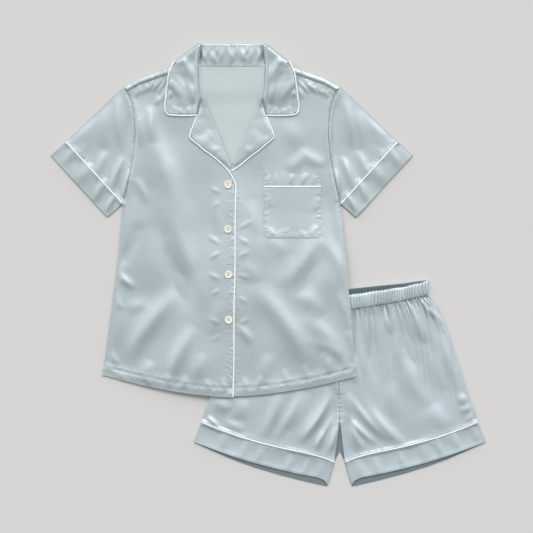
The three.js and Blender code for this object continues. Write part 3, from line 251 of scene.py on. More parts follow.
def mirrored(points, side):
    """The same points with x turned to the wanted side."""
    return np.asarray(points, dtype=float) * np.array([SIDES[side], 1.0])


def patch(top, bottom, left, right, across, down):
    """A Coons patch: top and bottom blended down, left and right blended across, less the blended corners."""
    u = np.asarray(across)[None, :, None]
    v = np.asarray(down)[:, None, None]
    edges = (1 - v) * top[None] + v * bottom[None] + (1 - u) * left[:, None] + u * right[:, None]
    upper = (1 - u) * top[0] + u * top[-1]
    lower = (1 - u) * bottom[0] + u * bottom[-1]
    return edges - (1 - v) * upper - v * lower


def fold_height(folds, x, drop):
    """The sum of soft ridges: each a bell across its bowed line that fades as (1 - t^2)^1.5 to its ends."""
    total = np.zeros(np.shape(x))
    for ax, ad, bx, bd, width, height, bend in folds:
        length = np.hypot(bx - ax, bd - ad)
        ux, ud = (bx - ax) / length, (bd - ad) / length
        t = ((x - (ax + bx) / 2) * ux + (drop - (ad + bd) / 2) * ud) / (length / 2)
        side = (drop - ad) * ux - (x - ax) * ud
        reach = np.clip(1.0 - t * t, 0.0, 1.0)
        total += height * reach**1.5 * bell(side - bend * reach, width)
    return total


def swell(x, drop, size):
    """A slow unevenness of the cloth: four sine waves that cross at uneven headings."""
    waves = ((0.031, 0.017, 0.4), (-0.022, 0.036, 2.1), (0.052, -0.029, 4.4), (0.013, 0.061, 1.3))
    return size * sum(np.sin(a * x + b * drop + c) for a, b, c in waves) / len(waves)


def puff(away):
    """A parabola's rise from a folded or sewn edge to the flat of a layer."""
    t = np.minimum(away / PUFF_REACH, 1.0)
    return SIDE_PUFF * (1.0 - (1.0 - t) ** 2)


def ridge(away, rise):
    """A flat-topped rise beside a seam that fades out within the ridge's reach."""
    return rise * (1.0 - ease(RIDGE_REACH / 3, RIDGE_REACH, away))


def shoulder_drop(x):
    """Drop of the shoulder's upper fold at a distance from the centre."""
    return np.interp(np.abs(x), SHOULDER[:, 0], SHOULDER[:, 1])


def hem_drop(x):
    """Drop of the shirt's hem: 664 at the sides and lower by a rounded bow towards the centre."""
    return 664.0 + HEM_DEPTH * (1.0 - np.minimum(np.abs(x) / 253.0, 1.0) ** 1.7)


def cuff_point(t, reach):
    """A point on the cuff's seam, from the shoulder side to the underarm, moved out along the sleeve."""
    t = np.asarray(t, dtype=float)[..., None]
    return CUFF_TOP + (CUFF_LOW - CUFF_TOP) * t + CUFF_WAY * reach


def inside(outline, x, drop):
    """Whether each point lies inside a closed outline, by counting the edges that it is left of."""
    found = np.zeros(np.shape(x), dtype=bool)
    for (ax, ad), (bx, bd) in zip(outline[:-1], outline[1:]):
        if ad != bd:
            crosses = (ad > drop) != (bd > drop)
            found ^= crosses & (x < ax + (drop - ad) / (bd - ad) * (bx - ax))
    return found


def shirt_bed(x, drop):
    """Height that the shirt's back lies at: over the shorts, over the collar's fall, or on the table."""
    on_x = x + SHIRT[0] - SHORTS[0]
    on_drop = drop - SHIRT[1] + SHORTS[1]
    away = np.where(inside(SHORTS_UNDER, on_x, on_drop), 0.0, distance(SHORTS_UNDER, on_x, on_drop))
    over_shorts = SHORTS_RISE * (1.0 - ease(2.0, SHORTS_SLOPE, away))
    beyond = np.clip((np.abs(x) - FALL_EDGE[0]) / (FALL_OUT[0] - FALL_EDGE[0]), 0.0, 1.0)
    fall_drop = FALL_EDGE[1] + (FALL_OUT[1] - FALL_EDGE[1]) * beyond
    past = np.maximum(drop - fall_drop, 0.0) + np.maximum(np.abs(x) - FALL_OUT[0], 0.0)
    return over_shorts + COLLAR_RISE * (1.0 - ease(COLLAR_FLAT, COLLAR_SLOPE, past))


SIDE_LINES = [
    SHOULDER,
    np.array([CUFF_LOW, cuff_point(1.0, CUFF_DEPTH)]),
    np.array([CUFF_LOW, *SIDE_SEAM["left"][1:]]),
]
CUFF_LINE = np.array([CUFF_TOP, CUFF_LOW])
HEM_X = np.linspace(-258.0, 258.0, 60)
HEM_LINE = np.stack([HEM_X, hem_drop(HEM_X)], axis=1)
HEM_STITCH_SET = 18.0


def armhole_dip(x, drop):
    """A narrow trough along the armhole seam with a low ridge inside it."""
    away = np.abs(x)
    apart = distance(ARMHOLE[1:], away, drop)
    return -0.7 * bell(apart, 4.0) + 0.25 * bell(apart - 6.0, 8.0)


def hem_dip(x, drop):
    """A narrow trough along the hem's stitching, and the low roll of the turned hem below it."""
    lift = hem_drop(x) - drop
    return -0.6 * bell(lift - HEM_STITCH_SET, 5.0) + 0.35 * bell(lift - 9.0, 13.0)


def shirt_front(x, drop):
    """Underside of the shirt's front layer."""
    away = np.abs(x)
    edge = np.minimum.reduce([distance(line, away, drop) for line in SIDE_LINES])
    folds = fold_height(SHIRT_FOLDS, x, drop) + swell(x, drop, 1.1) + armhole_dip(x, drop) + hem_dip(x, drop)
    soft = np.maximum(EDGE_RISE + puff(edge) + folds * ease(0.0, FOLD_REACH, edge), 0.0)
    return shirt_bed(x, drop) + LAYER + np.maximum(soft, ridge(distance(CUFF_LINE, away, drop), CUFF_RIDGE))


def right_front(x, drop):
    """Underside of the right front, which steps up a layer near the buttons where it laps over the left."""
    return shirt_front(x, drop) + LAP_RISE * ease(LAP_FROM, LAP_TO, x)


FRONT_HEIGHTS = {"right": right_front, "left": shirt_front}


def lying(height, x, drop, reach):
    """Underside of what lies on a layer: a cloth's thickness over the highest of five points within reach."""
    around = ((0, 0), (1, 0), (-1, 0), (0, 1), (0, -1))
    return np.maximum.reduce([height(x + i * reach, drop + j * reach) for i, j in around]) + LAYER


def placed(garment, x, drop, z):
    """World points in millimetres from plan coordinates and heights."""
    x, drop, z = np.broadcast_arrays(x, drop, z)
    return np.stack([garment[0] + x, garment[1] - drop, z], axis=-1)


def levels(garment, plan, height, thickness=CLOTH):
    """The outer and inner grids of a wall over plan points, its underside at the given heights."""
    x, drop = plan[..., 0], plan[..., 1]
    z = height(x, drop)
    return placed(garment, x, drop, z + thickness), placed(garment, x, drop, z)


def shell(middle, thickness=CLOTH):
    """Two grids half a thickness to either side of a middle surface, along its crossed grid directions."""
    along = np.empty_like(middle)
    across = np.empty_like(middle)
    along[1:-1] = middle[2:] - middle[:-2]
    along[0] = middle[1] - middle[0]
    along[-1] = middle[-1] - middle[-2]
    across[:, 1:-1] = middle[:, 2:] - middle[:, :-2]
    across[:, 0] = middle[:, 1] - middle[:, 0]
    across[:, -1] = middle[:, -1] - middle[:, -2]
    normal = np.cross(along, across)
    normal /= np.linalg.norm(normal, axis=-1, keepdims=True)
    return middle + normal * thickness / 2, middle - normal * thickness / 2


def wall_faces(rows, columns, around):
    """Faces of a closed wall: both layers and a rim, its last column joined to the first on a tube."""
    index = np.arange(2 * rows * columns).reshape(2, rows, columns)
    if around:
        index = np.concatenate([index, index[:, :, :1]], axis=2)
    o, n = index
    parts = [
        np.stack([o[:-1, :-1], o[:-1, 1:], o[1:, 1:], o[1:, :-1]], axis=-1),
        np.stack([n[:-1, :-1], n[1:, :-1], n[1:, 1:], n[:-1, 1:]], axis=-1),
        np.stack([n[0, :-1], n[0, 1:], o[0, 1:], o[0, :-1]], axis=-1),
        np.stack([o[-1, :-1], o[-1, 1:], n[-1, 1:], n[-1, :-1]], axis=-1),
    ]
    if not around:
        parts.append(np.stack([o[:-1, 0], o[1:, 0], n[1:, 0], n[:-1, 0]], axis=-1))
        parts.append(np.stack([n[:-1, -1], n[1:, -1], o[1:, -1], o[:-1, -1]], axis=-1))
    return [part.reshape(-1, 4) for part in parts]


def facing_out(points, faces):
    """The faces, each turned round if the body that they close has a negative volume."""
    a, b, c, d = (points[faces[:, i]] for i in range(4))
    volume = np.einsum("ij,ij->", a, np.cross(b, c)) + np.einsum("ij,ij->", a, np.cross(c, d))
    return faces[:, ::-1] if volume < 0 else faces


class Body:
    """Points, faces, the side of the cloth each face shows, and cloth coordinates, for one mesh."""

    def __init__(self):
        self.points, self.faces, self.reverse, self.cloth = [], [], [], []
        self.run, self.pucker = [], []
        self.count = 0

    def add(self, points, faces, reverse=None, cloth=None, run=None, pucker=None):
        """Appends one closed body."""
        size = len(points)
        faces = facing_out(points, faces)
        self.points.append(points)
        self.faces.append(faces + self.count)
        self.reverse.append(np.zeros(len(faces), dtype=int) if reverse is None else reverse)
        self.cloth.append(points[:, :2] if cloth is None else cloth)
        self.run.append(np.zeros(size) if run is None else run)
        self.pucker.append(np.zeros(size) if pucker is None else pucker)
        self.count += size

    def wall(self, outer, inner, around=False, run=None, pucker=None, matte_inside=True):
        """Appends a closed wall between two grids. Its cloth coordinates are lengths along the outer grid."""
        rows, columns = outer.shape[:2]
        parts = wall_faces(rows, columns, around)
        faces = np.concatenate(parts)
        reverse = np.zeros(len(faces), dtype=int)
        if matte_inside:
            reverse[len(parts[0]):len(parts[0]) + len(parts[1])] = 1
        points = np.concatenate([outer.reshape(-1, 3), inner.reshape(-1, 3)])
        across = np.linalg.norm(np.diff(outer, axis=1, prepend=outer[:, :1]), axis=-1).cumsum(axis=1)
        down = np.linalg.norm(np.diff(outer, axis=0, prepend=outer[:1]), axis=-1).cumsum(axis=0)
        cloth = np.tile(np.stack([across, down], axis=-1).reshape(-1, 2), (2, 1))
        twice = lambda value: None if value is None else np.tile(value.reshape(-1), 2)
        self.add(points, faces, reverse, cloth, twice(run), twice(pucker))

    def build(self, name, materials, body="root", smooth_angle=0.7):
        """Makes the mesh object, rides it on its body and gives it its materials."""
        mesh = bpy.data.meshes.new(name)
        points = np.concatenate(self.points) * MM
        faces = np.concatenate(self.faces)
        mesh.vertices.add(len(points))
        mesh.vertices.foreach_set("co", points.astype(np.float32).ravel())
        mesh.loops.add(faces.size)
        mesh.loops.foreach_set("vertex_index", faces.astype(np.int32).ravel())
        mesh.polygons.add(len(faces))
        mesh.polygons.foreach_set("loop_start", np.arange(0, faces.size, 4, dtype=np.int32))
        mesh.polygons.foreach_set("material_index", np.concatenate(self.reverse).astype(np.int32))
        mesh.polygons.foreach_set("use_smooth", np.ones(len(faces), dtype=bool))
        cloth = np.concatenate(self.cloth)[faces.ravel()] * MM
        mesh.uv_layers.new(name="cloth").data.foreach_set("uv", cloth.astype(np.float32).ravel())
        for label, values in (("run", self.run), ("pucker", self.pucker)):
            layer = mesh.attributes.new(label, "FLOAT", "POINT")
            layer.data.foreach_set("value", np.concatenate(values).astype(np.float32))
        mesh.update(calc_edges=True)
        mesh.validate()
        mesh.set_sharp_from_angle(angle=smooth_angle)
        for material in materials:
            mesh.materials.append(material)
        piece = bpy.data.objects.new(name, mesh)
        bpy.context.collection.objects.link(piece)
        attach(piece, body)
        return piece


def tube(body, path, radius, reference, sides=12):
    """A round-ended cord along a path, framed by each tangent crossed with a fixed reference way."""
    tangent = np.gradient(path, axis=0)
    tangent /= np.linalg.norm(tangent, axis=1, keepdims=True)
    side = np.cross(tangent, reference)
    side /= np.linalg.norm(side, axis=1, keepdims=True)
    up = np.cross(side, tangent)
    turn = np.linspace(0.0, 2 * np.pi, sides, endpoint=False)
    taper = np.array([0.05, 0.7, 0.95])
    ring_at = np.concatenate([[0, 0, 0], np.arange(len(path)), [-1, -1, -1]])
    size = np.concatenate([taper, np.ones(len(path)), taper[::-1]]) * radius
    push = np.concatenate([[-0.9, -0.6, -0.3], np.zeros(len(path)), [0.3, 0.6, 0.9]]) * radius
    centre = path[ring_at] + tangent[ring_at] * push[:, None]
    across, above = side[ring_at][:, None], up[ring_at][:, None]
    rim = np.cos(turn)[None, :, None] * across + np.sin(turn)[None, :, None] * above
    points = centre[:, None] + rim * size[:, None, None]
    rows = len(ring_at)
    index = np.arange(rows * sides).reshape(rows, sides)
    index = np.concatenate([index, index[:, :1]], axis=1)
    cells = np.stack([index[:-1, :-1], index[:-1, 1:], index[1:, 1:], index[1:, :-1]], axis=-1).reshape(-1, 4)
    caps = []
    for ring in (index[0, :-1], index[-1, :-1][::-1]):
        half = sides // 2
        for i in range(half - 1):
            caps.append([ring[i + 1], ring[i], ring[-1 - i], ring[-2 - i]])
    run = np.linalg.norm(np.diff(centre, axis=0, prepend=centre[:1]), axis=1).cumsum()
    size = (rows, sides)
    cloth = np.stack([np.broadcast_to(run[:, None], size), np.broadcast_to(turn * radius, size)], -1)
    body.add(points.reshape(-1, 3), np.concatenate([cells, np.array(caps)]), cloth=cloth.reshape(-1, 2))


def stitch_row(body, path, up_way, length=STITCH, pitch=STITCH_PITCH, radius=0.28):
    """A row of short threads along a path: six-sided beads, thick in the middle, sunk at their ends."""
    steps = np.linalg.norm(np.diff(path, axis=0), axis=1)
    run = np.concatenate([[0.0], steps.cumsum()])
    centre_at = np.arange(pitch / 2, run[-1], pitch)
    spot = np.stack([np.interp(centre_at, run, column) for column in path.T], axis=1)
    way = np.stack([np.interp(centre_at + 0.5, run, column) for column in path.T], axis=1) - spot
    way /= np.maximum(np.linalg.norm(way, axis=1, keepdims=True), 1e-6)
    side = np.cross(way, up_way)
    side /= np.linalg.norm(side, axis=1, keepdims=True)
    up = np.cross(side, way)
    along = np.array([-0.5, -0.32, 0.0, 0.32, 0.5]) * length
    thick = np.array([0.25, 0.85, 1.0, 0.85, 0.25]) * radius
    sink = np.array([-0.5, 0.0, 0.12, 0.0, -0.5]) * radius
    turn = np.linspace(0.0, 2 * np.pi, 6, endpoint=False)
    rings = (
        spot[:, None, None]
        + way[:, None, None] * along[None, :, None, None]
        + up[:, None, None] * (sink[None, :, None, None] + thick[None, :, None, None] * np.sin(turn)[None, None, :, None])
        + side[:, None, None] * thick[None, :, None, None] * np.cos(turn)[None, None, :, None]
    )
    index = np.arange(5 * 6).reshape(5, 6)
    index = np.concatenate([index, index[:, :1]], axis=1)
    cells = np.stack([index[:-1, :-1], index[:-1, 1:], index[1:, 1:], index[1:, :-1]], axis=-1).reshape(-1, 4)
    caps = np.array([[1, 0, 5, 4], [1, 4, 3, 2], [24, 25, 28, 29], [25, 26, 27, 28]])
    one = np.concatenate([cells, caps])
    count = len(spot)
    faces = (one[None] + 30 * np.arange(count)[:, None, None]).reshape(-1, 4)
    body.add(rings.reshape(-1, 3), faces)


def seam_marks(seams, garment_x, drop):
    """For each point, how far along its nearest seam it lies, and how strongly the cloth puckers there.

    Each seam is a line, a pucker height, and a reach over which the puckers fade as a bell.
    """
    best = np.zeros(np.shape(garment_x))
    second = np.zeros(np.shape(garment_x))
    run = np.zeros(np.shape(garment_x))
    for number, (line, strength, reach) in enumerate(seams):
        away, along = nearest_on(line, garment_x, drop)
        amount = strength * bell(away, reach)
        closer = amount > best
        second = np.where(closer, best, np.maximum(second, amount))
        best = np.where(closer, amount, best)
        run = np.where(closer, along + 900.0 * number, run)
    return run * MM, best - second


def front_plan(side, columns, rows):
    """Plan points of a front, a patch between its placket and neck edge and its armhole and side seam."""
    down = np.linspace(0.0, 1.0, rows)
    across = np.linspace(0.0, 1.0, columns)
    below = RIGHT_FRONT_EDGE if side == "right" else LEFT_FRONT_EDGE
    inner = straight([*mirrored(NECK_EDGE, side), *below], down)
    outer = straight([*mirrored(ARMHOLE[1:], side), *(SIDE_SEAM[side] * [SIDES[side], 1])], down)
    outer[-1, 1] = hem_drop(outer[-1, 0])
    seam_x = np.linspace(NECK_X, ARMHOLE[1][0] - SEAM, columns)
    top = np.stack([SIDES[side] * seam_x, shoulder_drop(seam_x) + SHOULDER_SEAM_SET + SEAM], axis=1)
    hem_x = np.linspace(inner[-1, 0], outer[-1, 0], columns)
    bottom = np.stack([hem_x, hem_drop(hem_x)], axis=1)
    inner[0], outer[0] = top[0], top[-1]
    return patch(top, bottom, inner, outer, across, down)


def shirt_seams(side):
    """The seams that pucker a front: the piped edge, the hem, the armhole and the shoulder."""
    seam_x = np.linspace(NECK_X, 207.0, 12)
    shoulder = np.stack([SIDES[side] * seam_x, shoulder_drop(seam_x) + SHOULDER_SEAM_SET], axis=1)
    hem = HEM_LINE - [0.0, HEM_STITCH_SET]
    placket = np.array([(3.0, 262), (7.8, 311), (2.8, 706)])
    placket_strength = 1.5 if side == "right" else 0.6
    seam = SIDE_SEAM[side] * [SIDES[side], 1.0]
    return [
        (placket, placket_strength, 24.0), (hem, 1.1, 20.0), (mirrored(ARMHOLE[1:], side), 0.5, 16.0),
        (shoulder, 1.1, 26.0), (seam, 0.35, 14.0),
    ]


def make_front(side, materials):
    """A front: one wall over its plan points, lifted by the folds that its height function gives."""
    body = Body()
    plan = front_plan(side, 104, 250)
    run, pucker = seam_marks(shirt_seams(side), plan[..., 0], plan[..., 1])
    body.wall(*levels(SHIRT, plan, FRONT_HEIGHTS[side]), run=run, pucker=pucker)
    return body.build(f"satin_front_{side}", materials)


def back_plan(rows):
    """Plan points of the back: its top edge scoops at the neck, its sides are the fronts' side seams."""
    marks = (-0.78, -0.54, -0.329, -0.322, 0.322, 0.329, 0.54, 0.78)
    u = np.unique(np.concatenate([np.linspace(-1.0, 1.0, 49), marks]))
    x = u * (ARMHOLE[0][0] - 2.6)
    scoop = BACK_NECK_DROP + BACK_NECK_DIP * (1 - (x / NECK_X) ** 2)
    top = np.stack([x, np.where(np.abs(x) < NECK_X, scoop, shoulder_drop(x) + 3.0)], axis=1)
    down = np.linspace(0.0, 1.0, rows)
    sides = []
    for side, corner in (("right", top[0]), ("left", top[-1])):
        edge = straight([*mirrored(ARMHOLE[1:], side), *(SIDE_SEAM[side] * [SIDES[side], 1])], down)
        edge[-1, 1] = hem_drop(edge[-1, 0])
        edge[0] = corner
        sides.append(edge)
    hem_x = sides[0][-1, 0] + (sides[1][-1, 0] - sides[0][-1, 0]) * (u + 1) / 2
    bottom = np.stack([hem_x, hem_drop(hem_x)], axis=1)
    return patch(top, bottom, sides[0], sides[1], (u + 1) / 2, down)


def shoulder_wrap(side, columns):
    """A strip that turns over the shoulder in a half circle and lies on the front to its seam."""
    t = np.linspace(0.0, 1.0, columns)
    seam_x = NECK_X + (ARMHOLE[1][0] - SEAM - NECK_X) * t
    fold_x = NECK_X + (ARMHOLE[0][0] - 1.6 - NECK_X) * t
    drop = shoulder_drop(fold_x)
    seam_drop = shoulder_drop(seam_x) + SHOULDER_SEAM_SET
    lower = shirt_bed(fold_x, drop) + CLOTH / 2
    upper = shirt_front(SIDES[side] * seam_x, seam_drop) + CLOTH / 2
    radius = (upper - lower) / 2
    rows = [np.stack([fold_x, drop + 6.0, lower], axis=1)]
    for angle in np.linspace(0.0, np.pi, 9):
        out = drop + CLOTH / 2 + radius * (1 - np.sin(angle))
        rows.append(np.stack([fold_x, out, lower + radius * (1 - np.cos(angle))], axis=1))
    start = rows[-1]
    for part in (0.25, 0.5, 0.75, 0.9, 1.0):
        rise = 0.9 * np.sin(np.pi * min(part / 0.9, 1.0)) - 0.35 * (part > 0.95)
        x = fold_x + (seam_x - fold_x) * part
        pleat = np.abs(np.sin(0.33 * x + 1.3 * np.sin(0.11 * x))) * np.sin(np.pi * (0.1 + 0.85 * part))
        rise = rise + 0.9 * pleat
        rows.append(np.stack([x, start[:, 1] + (seam_drop - start[:, 1]) * part, upper + rise], axis=1))
    strip = np.stack(rows, axis=1)
    return placed(SHIRT, SIDES[side] * strip[..., 0], strip[..., 1], strip[..., 2])


def make_back(materials):
    """The back panel, and the strip on each shoulder that comes forward to the shoulder seam."""
    body = Body()
    outer, inner = levels(SHIRT, back_plan(120), shirt_bed)
    rows, columns = outer.shape[:2]
    neck = np.array([(-68.0, 46.5), (68.0, 46.5)])
    plan_x, plan_drop = outer[..., 0] - SHIRT[0], SHIRT[1] - outer[..., 1]
    run, pucker = seam_marks([(neck, 0.5, 14.0)], plan_x, plan_drop)
    body.wall(inner, outer, run=run, pucker=pucker)
    for side in SIDES:
        strip = shoulder_wrap(side, 60)
        outside, inside_layer = shell(strip)
        if outside[30, -1, 2] < inside_layer[30, -1, 2]:
            outside, inside_layer = inside_layer, outside
        run = np.linalg.norm(np.diff(strip, axis=0, prepend=strip[:1]), axis=-1).cumsum(axis=0) * MM
        body.wall(outside, inside_layer, run=run, pucker=np.full(run.shape, 0.35))
    return body.build("satin_back", materials)


def flat_tube(stations, columns, bed, front, garment):
    """Rings of a flattened tube: a layer on the bed, one at the front's height, and two folded sides."""
    outer, inner = [], []
    for station in stations:
        a, b = station(np.array([0.0, 1.0]))
        inset = FOLD_INSET / np.hypot(*(b - a))
        over = station(np.linspace(inset, 1 - inset, columns[0]))
        under = station(np.linspace(1 - inset, inset, columns[1]))
        for rings, ends, up, down in ((outer, (0.0, 1.0), CLOTH, 0.0), (inner, (inset, 1 - inset), 0.0, CLOTH)):
            first, last = station(np.array(ends))
            plan = np.concatenate([[first], over, [last], under])
            z = np.concatenate([
                [bed(*first) + LAYER], front(over[:, 0], over[:, 1]) + up,
                [bed(*last) + LAYER], bed(under[:, 0], under[:, 1]) + down,
            ])
            rings.append(placed(garment, plan[:, 0], plan[:, 1], z))
    return np.array(outer), np.array(inner)


def make_sleeve(side, materials):
    """A sleeve: a flattened tube whose rings pass evenly from the armhole to the cuff's straight seam."""
    armhole = straight(ARMHOLE + [1.0, 0.0], np.linspace(0.0, 1.0, 200))
    grid = np.linspace(0.0, 1.0, 200)

    def station(part):
        def at(t):
            start = np.stack([np.interp(t, grid, column) for column in armhole.T], axis=-1)
            p = start + (cuff_point(t, -PIPING_ROOM) - start) * part
            return p * [SIDES[side], 1.0]
        return at

    parts = np.linspace(0.0, 1.0, 56)
    outer, inner = flat_tube([station(p) for p in parts], (76, 24), shirt_bed, shirt_front, SHIRT)
    seams = [(mirrored(CUFF_LINE, side), 0.9, 22.0), (mirrored(ARMHOLE, side), 0.6, 16.0)]
    run, pucker = seam_marks(seams, outer[..., 0] - SHIRT[0], SHIRT[1] - outer[..., 1])
    body = Body()
    body.wall(outer, inner, around=True, run=run, pucker=pucker)
    return body.build(f"satin_sleeve_{side}", materials)


def make_cuff(side, materials):
    """A cuff: a flattened tube from the piping to the sleeve's hem."""
    def station(reach):
        return lambda t: cuff_point(t, reach) * [SIDES[side], 1.0]

    reaches = np.linspace(PIPING_ROOM, CUFF_DEPTH, 22)
    outer, inner = flat_tube([station(r) for r in reaches], (80, 24), shirt_bed, shirt_front, SHIRT)
    seams = [(mirrored(CUFF_LINE, side), 0.6, 18.0)]
    run, pucker = seam_marks(seams, outer[..., 0] - SHIRT[0], SHIRT[1] - outer[..., 1])
    body = Body()
    body.wall(outer, inner, around=True, run=run, pucker=pucker)
    return body.build(f"satin_cuff_{side}", materials)


# Lapels: drop on the roll edge of the V, then x and drop of the piped outer edge.
LAPEL = np.array([
    (109, 62, 111), (120, 63.6, 121.4), (130, 67, 133.4), (139, 70.2, 146.6), (145, 76, 164), (151, 82.2, 181),
    (160, 83.2, 187), (170, 76.6, 194), (188, 54.8, 212.4), (208, 33.4, 229), (228, 15.8, 243.8),
])
RIGHT_LAPEL_END = np.array([(243, 5.6, 256)])
LEFT_LAPEL_END = np.array([(238, 9.0, 249)])
LAPEL_FOLDS = np.array([
    (58, 150, 70, 184, 18, 0.8, 2),
    (44, 170, 56, 204, 20, 0.8, 2),
    (24, 206, 40, 220, 12, 0.6, 0),
    (62, 128, 66, 150, 10, 0.7, 0),
])
EDGE_SET = PIPING_ROOM + 0.7


def lapel_free(drop):
    """How far the lapel's piped edge stands off the front: not at the gorge or at the end of the roll."""
    return ease(126.0, 184.0, drop) * (1.0 - ease(190.0, 240.0, drop))


def make_lapel(side, materials):
    """A lapel: a wall from the roll edge to the piping, with a lip down into the V, lying on its front."""
    rows = np.concatenate([LAPEL, RIGHT_LAPEL_END if side == "right" else LEFT_LAPEL_END])
    fine = curve(rows, 90)
    roll = np.stack([np.interp(fine[:, 0], V_LINE[:, 1], V_LINE[:, 0]) + CLOTH / 2, fine[:, 0]], axis=1)
    edge = fine[:, 1:]
    width = np.hypot(*(edge - roll).T)[:, None]
    edge = edge + (roll - edge) * EDGE_SET / width
    part = np.linspace(0.0, 1.0, 34)[None, 1:, None]
    plan = roll[:, None] + (edge - roll)[:, None] * part
    x, drop = plan[..., 0], plan[..., 1]
    z = lying(FRONT_HEIGHTS[side], SIDES[side] * x, drop, LYING_REACH) + CLOTH / 2
    near_roll = np.hypot(x - roll[:, None, 0], drop - roll[:, None, 1])
    z += fold_height(LAPEL_FOLDS, x, drop) + 1.1 * np.sin(np.pi * part[..., 0])
    z += 0.3 * bell(near_roll - 2.0, 6.0) + LAPEL_LIFT * ease(0.4, 1.0, part[..., 0]) * lapel_free(drop)
    lift = z[:, :1]
    lip_x, lip_drop = np.repeat(roll[:, :1], 3, 1), np.repeat(roll[:, 1:], 3, 1)
    lip = np.stack([lip_x, lip_drop, lift - [[2.0, 1.2, 0.35]]], axis=-1)
    middle = np.concatenate([lip, np.stack([x, drop, z], axis=-1)], axis=1)
    middle = placed(SHIRT, SIDES[side] * middle[..., 0], middle[..., 1], middle[..., 2])
    outer, inner = shell(middle)
    if outer[45, 20, 2] < inner[45, 20, 2]:
        outer, inner = inner, outer
    seams = [(mirrored(LAPEL_PIPING, side), 0.9, 18.0)]
    run, pucker = seam_marks(seams, outer[..., 0] - SHIRT[0], SHIRT[1] - outer[..., 1])
    body = Body()
    body.wall(outer, inner, run=run, pucker=pucker)
    return body.build(f"satin_lapel_{side}", materials)


# The collar: each row of a leaf runs from the roll edge to the piped outer edge.
LEAF = np.array([
    (68.4, 140.6, 123.8, 140.6), (66.8, 134, 129.2, 136.4), (62.6, 115, 131, 124.8), (64.8, 92, 127.6, 92),
    (66.2, 66, 123.6, 65), (66.8, 40, 119.2, 50),
])
GORGE_DROP = 112.0
LEAF_REACH = 13.0
LEAF_LIFT = 1.6
LAPEL_LIFT = 3.0
LEAF_FOLD = np.array([(67.2, 0.4), (113.0, 35.6)])
FALL_MIDDLE = 0.6
STAND_ROLL = 4.8
LEAF_FOLDS = np.array([
    (113, 46, 80, 110, 15, -1.5, 3),
    (127, 74, 92, 130, 17, 1.8, 3),
    (104, 20, 76, 80, 15, 2.2, 3),
    (92, 70, 74, 124, 12, 1.6, 2),
    (124, 66, 120, 96, 8, 0.8, 0),
    (127, 92, 118, 112, 8, 0.9, 0),
    (104, 128, 102, 142, 8, 0.8, 0),
    (88, 126, 84, 142, 8, 0.8, 0),
    (76, 122, 72, 140, 8, 0.9, 0),
    (116, 124, 112, 140, 9, 0.8, 0),
    (100, 24, 92, 60, 14, 1.0, 2),
])


def leaf_level(side, x, drop):
    """Middle of the collar's leaf, over the front and the shoulder."""
    def front(at, down):
        return FRONT_HEIGHTS[side](SIDES[side] * at, np.maximum(down, shoulder_drop(at) + SHOULDER_SEAM_SET))
    return lying(front, x, drop, LEAF_REACH) + CLOTH / 2


